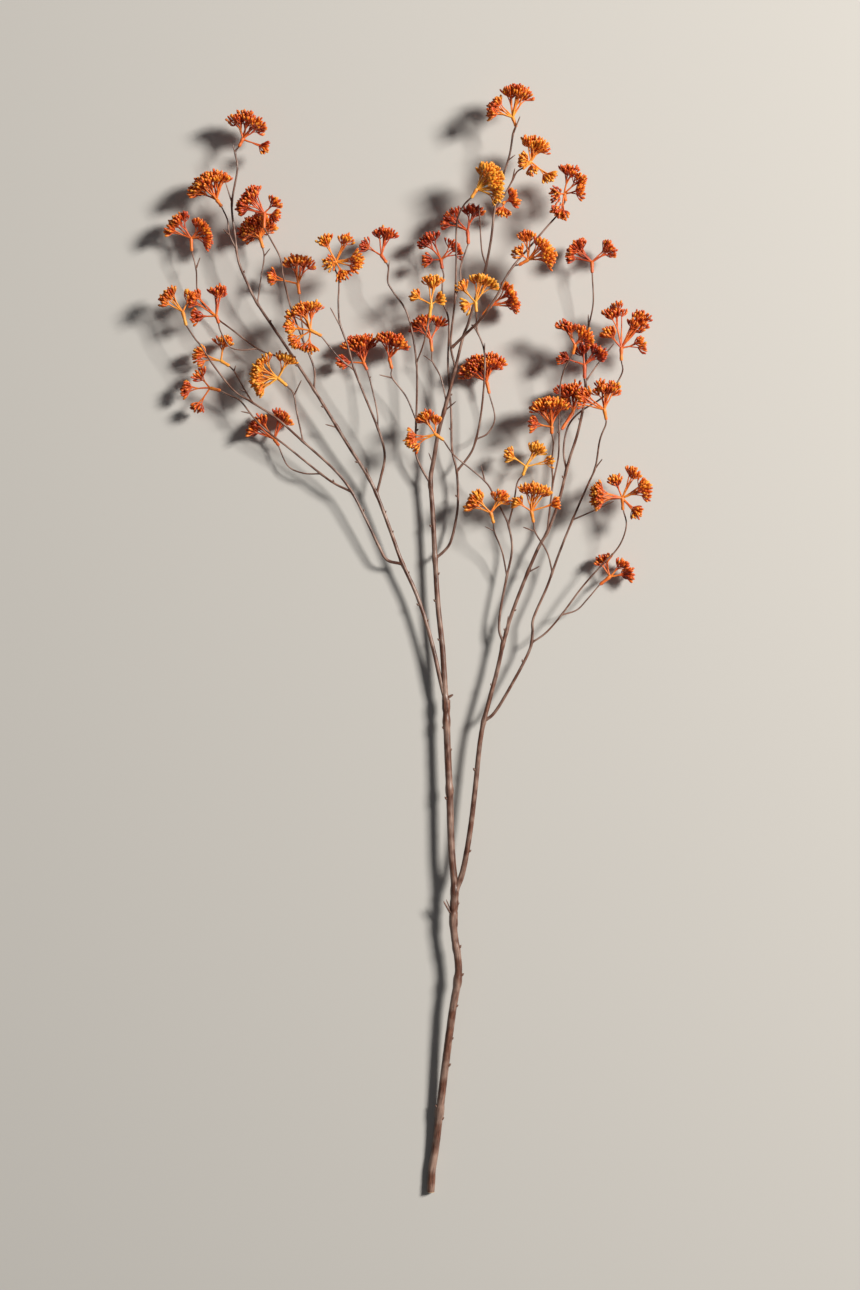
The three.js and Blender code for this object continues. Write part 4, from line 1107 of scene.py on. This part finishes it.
# %% Growing a lobe and a head
def hubs_of(dome, wanted, fullness, chance):
    """Where the umbellets of a lobe sit."""
    hub_share = max(LOWEST_HUB, 1 - UMBELLET_REACH / dome.reach)
    depth = SMALL_LOBE_DEPTH if wanted == FEWEST else DEPTH * fullness
    for hub in dome.spread_out(wanted, hub_share, chance, depth):
        from_fork = (hub - dome.fork).to_2d().length / (dome.reach * hub_share)
        grown = wanted == FEWEST or from_fork > MIDDLE_SHARE or chance.random() < fullness
        if grown and clear_of_wood(dome.fork.lerp(hub, CLEAR_FROM), hub, RAY_ROOM):
            yield hub


def grow_lobe(lines, dome, tone, fullness, chance):
    """Adds the rays of one lobe with their umbellets, and returns how many berries they bear."""
    dome.phase = chance.uniform(0, math.tau)
    wanted = max(FEWEST, round(dome.area / UMBELLET_ROOM * (1 + LAYERS * fullness)))
    hubs = list(hubs_of(dome, wanted, fullness, chance))
    rays = max(1, round(wanted / UMBELLETS_PER_RAY))
    knees = list(dome.spread_out(rays, KNEE_HEIGHT, chance, KNEE_DEPTH))
    berries = 0
    for knee in knees:
        own_hubs = [hub for hub in hubs if nearest(hub, knees) is knee]
        if not own_hubs:
            continue
        centre = sum(own_hubs, Vector()) / len(own_hubs)
        bend_at = dome.fork.lerp(centre, KNEE_SHARE * chance.uniform(*KNEE_SHARES))
        bow = dome.axis * dome.reach * BOW
        add_curve(lines, dome.fork, bend_at, RAY_RADII, RAY_PLACE, bow, tone, chance)
        for hub in own_hubs:
            add_curve(lines, bend_at, hub, FORK_RADII, FORK_PLACE, bow, tone, chance)
            axis = ((hub - bend_at).normalized() + (hub - dome.fork).normalized()).normalized()
            berries += grow_umbellet(lines, hub, axis, tone, chance)
    return berries


def grow_head(number, foot_at, fork_at, crown_height, tone, fullness, lobes):
    """The lines of one head and how many berries it bears."""
    chance = random.Random(number)
    lines = Lines()
    add_stalk(lines, place(foot_at), place(fork_at), tone, chance)
    domes = [Dome(fork_at, crown_height, *lobe) for lobe in lobes]
    return lines, sum(grow_lobe(lines, dome, tone, fullness, chance) for dome in domes)


print("a berry is", round(BERRY_LENGTH / MM, 1), "by", round(BERRY_WIDTH / MM, 1), "mm")

# %% [markdown]
# ## A head's flesh
# A second tree sweeps the rays as the first did the limbs, and sets one berry on every tip,
# turned to point outwards. The berry is the same teardrop as the bud, with its own widths: a
# narrow neck, a full belly and a blunt tip. A seeded random value gives each berry its own
# girth and its own shade.

# %% The berry head tree
BERRY_WIDTHS = [(0.0, 0.2), (0.2, 0.55), (0.45, 0.86), (0.68, 1.0), (0.88, 0.82), (1.0, 0.36)]
head_tree = Tree("berry head", {
    "Ray Sides": ("NodeSocketInt", 6),
    "Berry Sides": ("NodeSocketInt", 6),
    "Berry Width": ("NodeSocketFloat", BERRY_WIDTH),
    "Thinnest": ("NodeSocketFloat", 0.86),
    "Fattest": ("NodeSocketFloat", 1.12),
    "Seed": ("NodeSocketInt", 0),
    "Ray Material": ("NodeSocketMaterial", None),
    "Berry Material": ("NodeSocketMaterial", None),
})
t = head_tree
tips, ray_lines = t.split(t.inputs["Geometry"])
rays = t.tube(ray_lines, t.inputs["Ray Sides"])
berry = t.store(t.teardrop(6, t.inputs["Berry Sides"], BERRY_WIDTHS), "berry", 1.0)
shade = t.node("FunctionNodeRandomValue", {2: -1.0, 3: 1.0, "Seed": t.inputs["Seed"]}, data_type="FLOAT")
tips = t.store(tips, "shade", shade.outputs[1])
girth = t.node("FunctionNodeRandomValue", {
    2: t.inputs["Thinnest"], 3: t.inputs["Fattest"], "Seed": t.inputs["Seed"],
}, data_type="FLOAT")
width = t.math("MULTIPLY", girth.outputs[1], t.inputs["Berry Width"])
berries = t.on_tips(tips, berry, width)
is_berry = t.math("GREATER_THAN", t.read("berry"), 0.5)
whole = t.paint(t.finish(rays, berries), t.inputs["Ray Material"])
t.tree.links.new(t.paint(whole, t.inputs["Berry Material"], is_berry), t.output)
print("head tree nodes", len(t.tree.nodes))

# %% [markdown]
# ## Berry colours
# The berries ripen from yellow over amber and orange to a deep red, and no two heads are
# equally far. One shader group turns a tone into a colour, with blotches that come from a
# noise. The berries and the stalks of both colours use it, each with its own values: stalks
# stay paler and yellower, and darken towards the berries as painted shade deep in the head. A
# berry is darkest at its neck and lightest at its tip: partly its own yellow-orange tip,
# partly painted shade among the clubs and a painted highlight on the tip.

# %% The ripening group
RIPE_COLOURS = [
    (0.0, (0.30, 0.018, 0.004)),
    (0.25, (0.52, 0.055, 0.008)),
    (0.5, (0.72, 0.130, 0.012)),
    (0.75, (0.82, 0.250, 0.018)),
    (1.0, (0.88, 0.400, 0.040)),
]


def ripening_group():
    group = bpy.data.node_groups.new("ripening", "ShaderNodeTree")
    for name, kind in (("Tone", "Float"), ("Blotches", "Float"), ("Position", "Vector")):
        group.interface.new_socket(name, in_out="INPUT", socket_type="NodeSocket" + kind)
    group.interface.new_socket("Color", in_out="OUTPUT", socket_type="NodeSocketColor")
    group.interface.new_socket("Blotch", in_out="OUTPUT", socket_type="NodeSocketFloat")
    s = Shader(group)
    inputs = group.nodes.new("NodeGroupInput").outputs
    outputs = group.nodes.new("NodeGroupOutput").inputs
    wide = s.noise(inputs["Position"], 90, 1)
    fine = s.noise(inputs["Position"], 700, 2)
    blotch = s.math("SUBTRACT", s.math("ADD", wide, s.math("MULTIPLY", fine, 0.6)), 0.8)
    tone = s.math("ADD", inputs["Tone"], s.math("MULTIPLY", blotch, inputs["Blotches"]), clamp=True)
    group.links.new(s.ramp(tone, RIPE_COLOURS), outputs["Color"])
    group.links.new(fine, outputs["Blotch"])
    return group


RIPENING = ripening_group()
print("ripening group nodes", len(RIPENING.nodes))


# %% Materials of berries and stalks
BLOTCHES = 0.9  # how far a blotch shifts the tone
CREAM = (1.0, 0.8, 0.45, 1)
ROUGHER_SPOTS = 0.25
SKIN_RELIEF = 0.0003  # metres


def flesh_material(name, warmth, along, tip_shift, shade_share, roughness, cream):
    """A berry or stalk material. The tone is the head's own, shifted by chance and along the berry or the
    rays; that shift along is partly painted shade and painted highlight.
    """
    material, tree, shader = new_material(name)
    s = Shader(tree)
    tone = s.math("ADD", s.mark("own"), warmth)
    # the shift along a berry or a ray is partly painted shade and painted highlight
    tone = s.scaled(s.mark(along), tip_shift, tone)
    tone = s.scaled(s.mark("shade"), shade_share, tone)
    group = s.node("ShaderNodeGroup", node_tree=RIPENING)
    group.inputs["Blotches"].default_value = BLOTCHES
    tree.links.new(tone, group.inputs["Tone"])
    tree.links.new(s.node("ShaderNodeTexCoord").outputs["Object"], group.inputs["Position"])
    colour = s.mix(cream, group.outputs["Color"], CREAM)
    tree.links.new(colour, shader.inputs["Base Color"])
    rough = s.scaled(group.outputs["Blotch"], ROUGHER_SPOTS, roughness)
    tree.links.new(rough, shader.inputs["Roughness"])
    tree.links.new(s.bump(group.outputs["Blotch"], 0.35, SKIN_RELIEF), shader.inputs["Normal"])
    return material


# a berry darkens to its neck and lightens to its tip: partly its own yellow-orange tip, partly painted
# shade among the clubs and a painted highlight
BERRY = {"along": "neck_to_tip", "shade_share": 0.26, "roughness": 0.22, "cream": 0.0}
# stalks and rays darken towards the berries: painted shade deep inside the head
STALK = {"along": "along", "tip_shift": -0.25, "shade_share": 0.0, "roughness": 0.34}
BERRY_SKINS = {
    "rust_berries": flesh_material("rust_berry_skin", warmth=-0.14, tip_shift=0.36, **BERRY),
    "amber_berries": flesh_material("amber_berry_skin", warmth=-0.2, tip_shift=0.24, **BERRY),
}
STALK_SKINS = {
    "rust_berries": flesh_material("rust_stalk_skin", warmth=0.2, cream=0.02, **STALK),
    "amber_berries": flesh_material("amber_stalk_skin", warmth=0.12, cream=0.03, **STALK),
}
SLOTS = {row["node"]: row["material_slot"] for row in frame["record"]["subparts"]}
print("skins", [skin.name for skin in (*BERRY_SKINS.values(), *STALK_SKINS.values())])

# %% The heads
faces, berries_grown = 0, 0
for number, values in HEADS.items():
    node = f"berry_head_{number:02d}"
    slot = SLOTS[node]
    lines, count = grow_head(number, *values)
    head = dress(f"{node}_berries", lines.mesh(f"{node}_lines"), head_tree.tree, {
        "Seed": number, "Ray Material": STALK_SKINS[slot], "Berry Material": BERRY_SKINS[slot],
    })
    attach(head, "root")
    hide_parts(node)
    faces += len(head.data.polygons)
    berries_grown += count
print("heads", len(HEADS), "berries", berries_grown, "faces", faces)
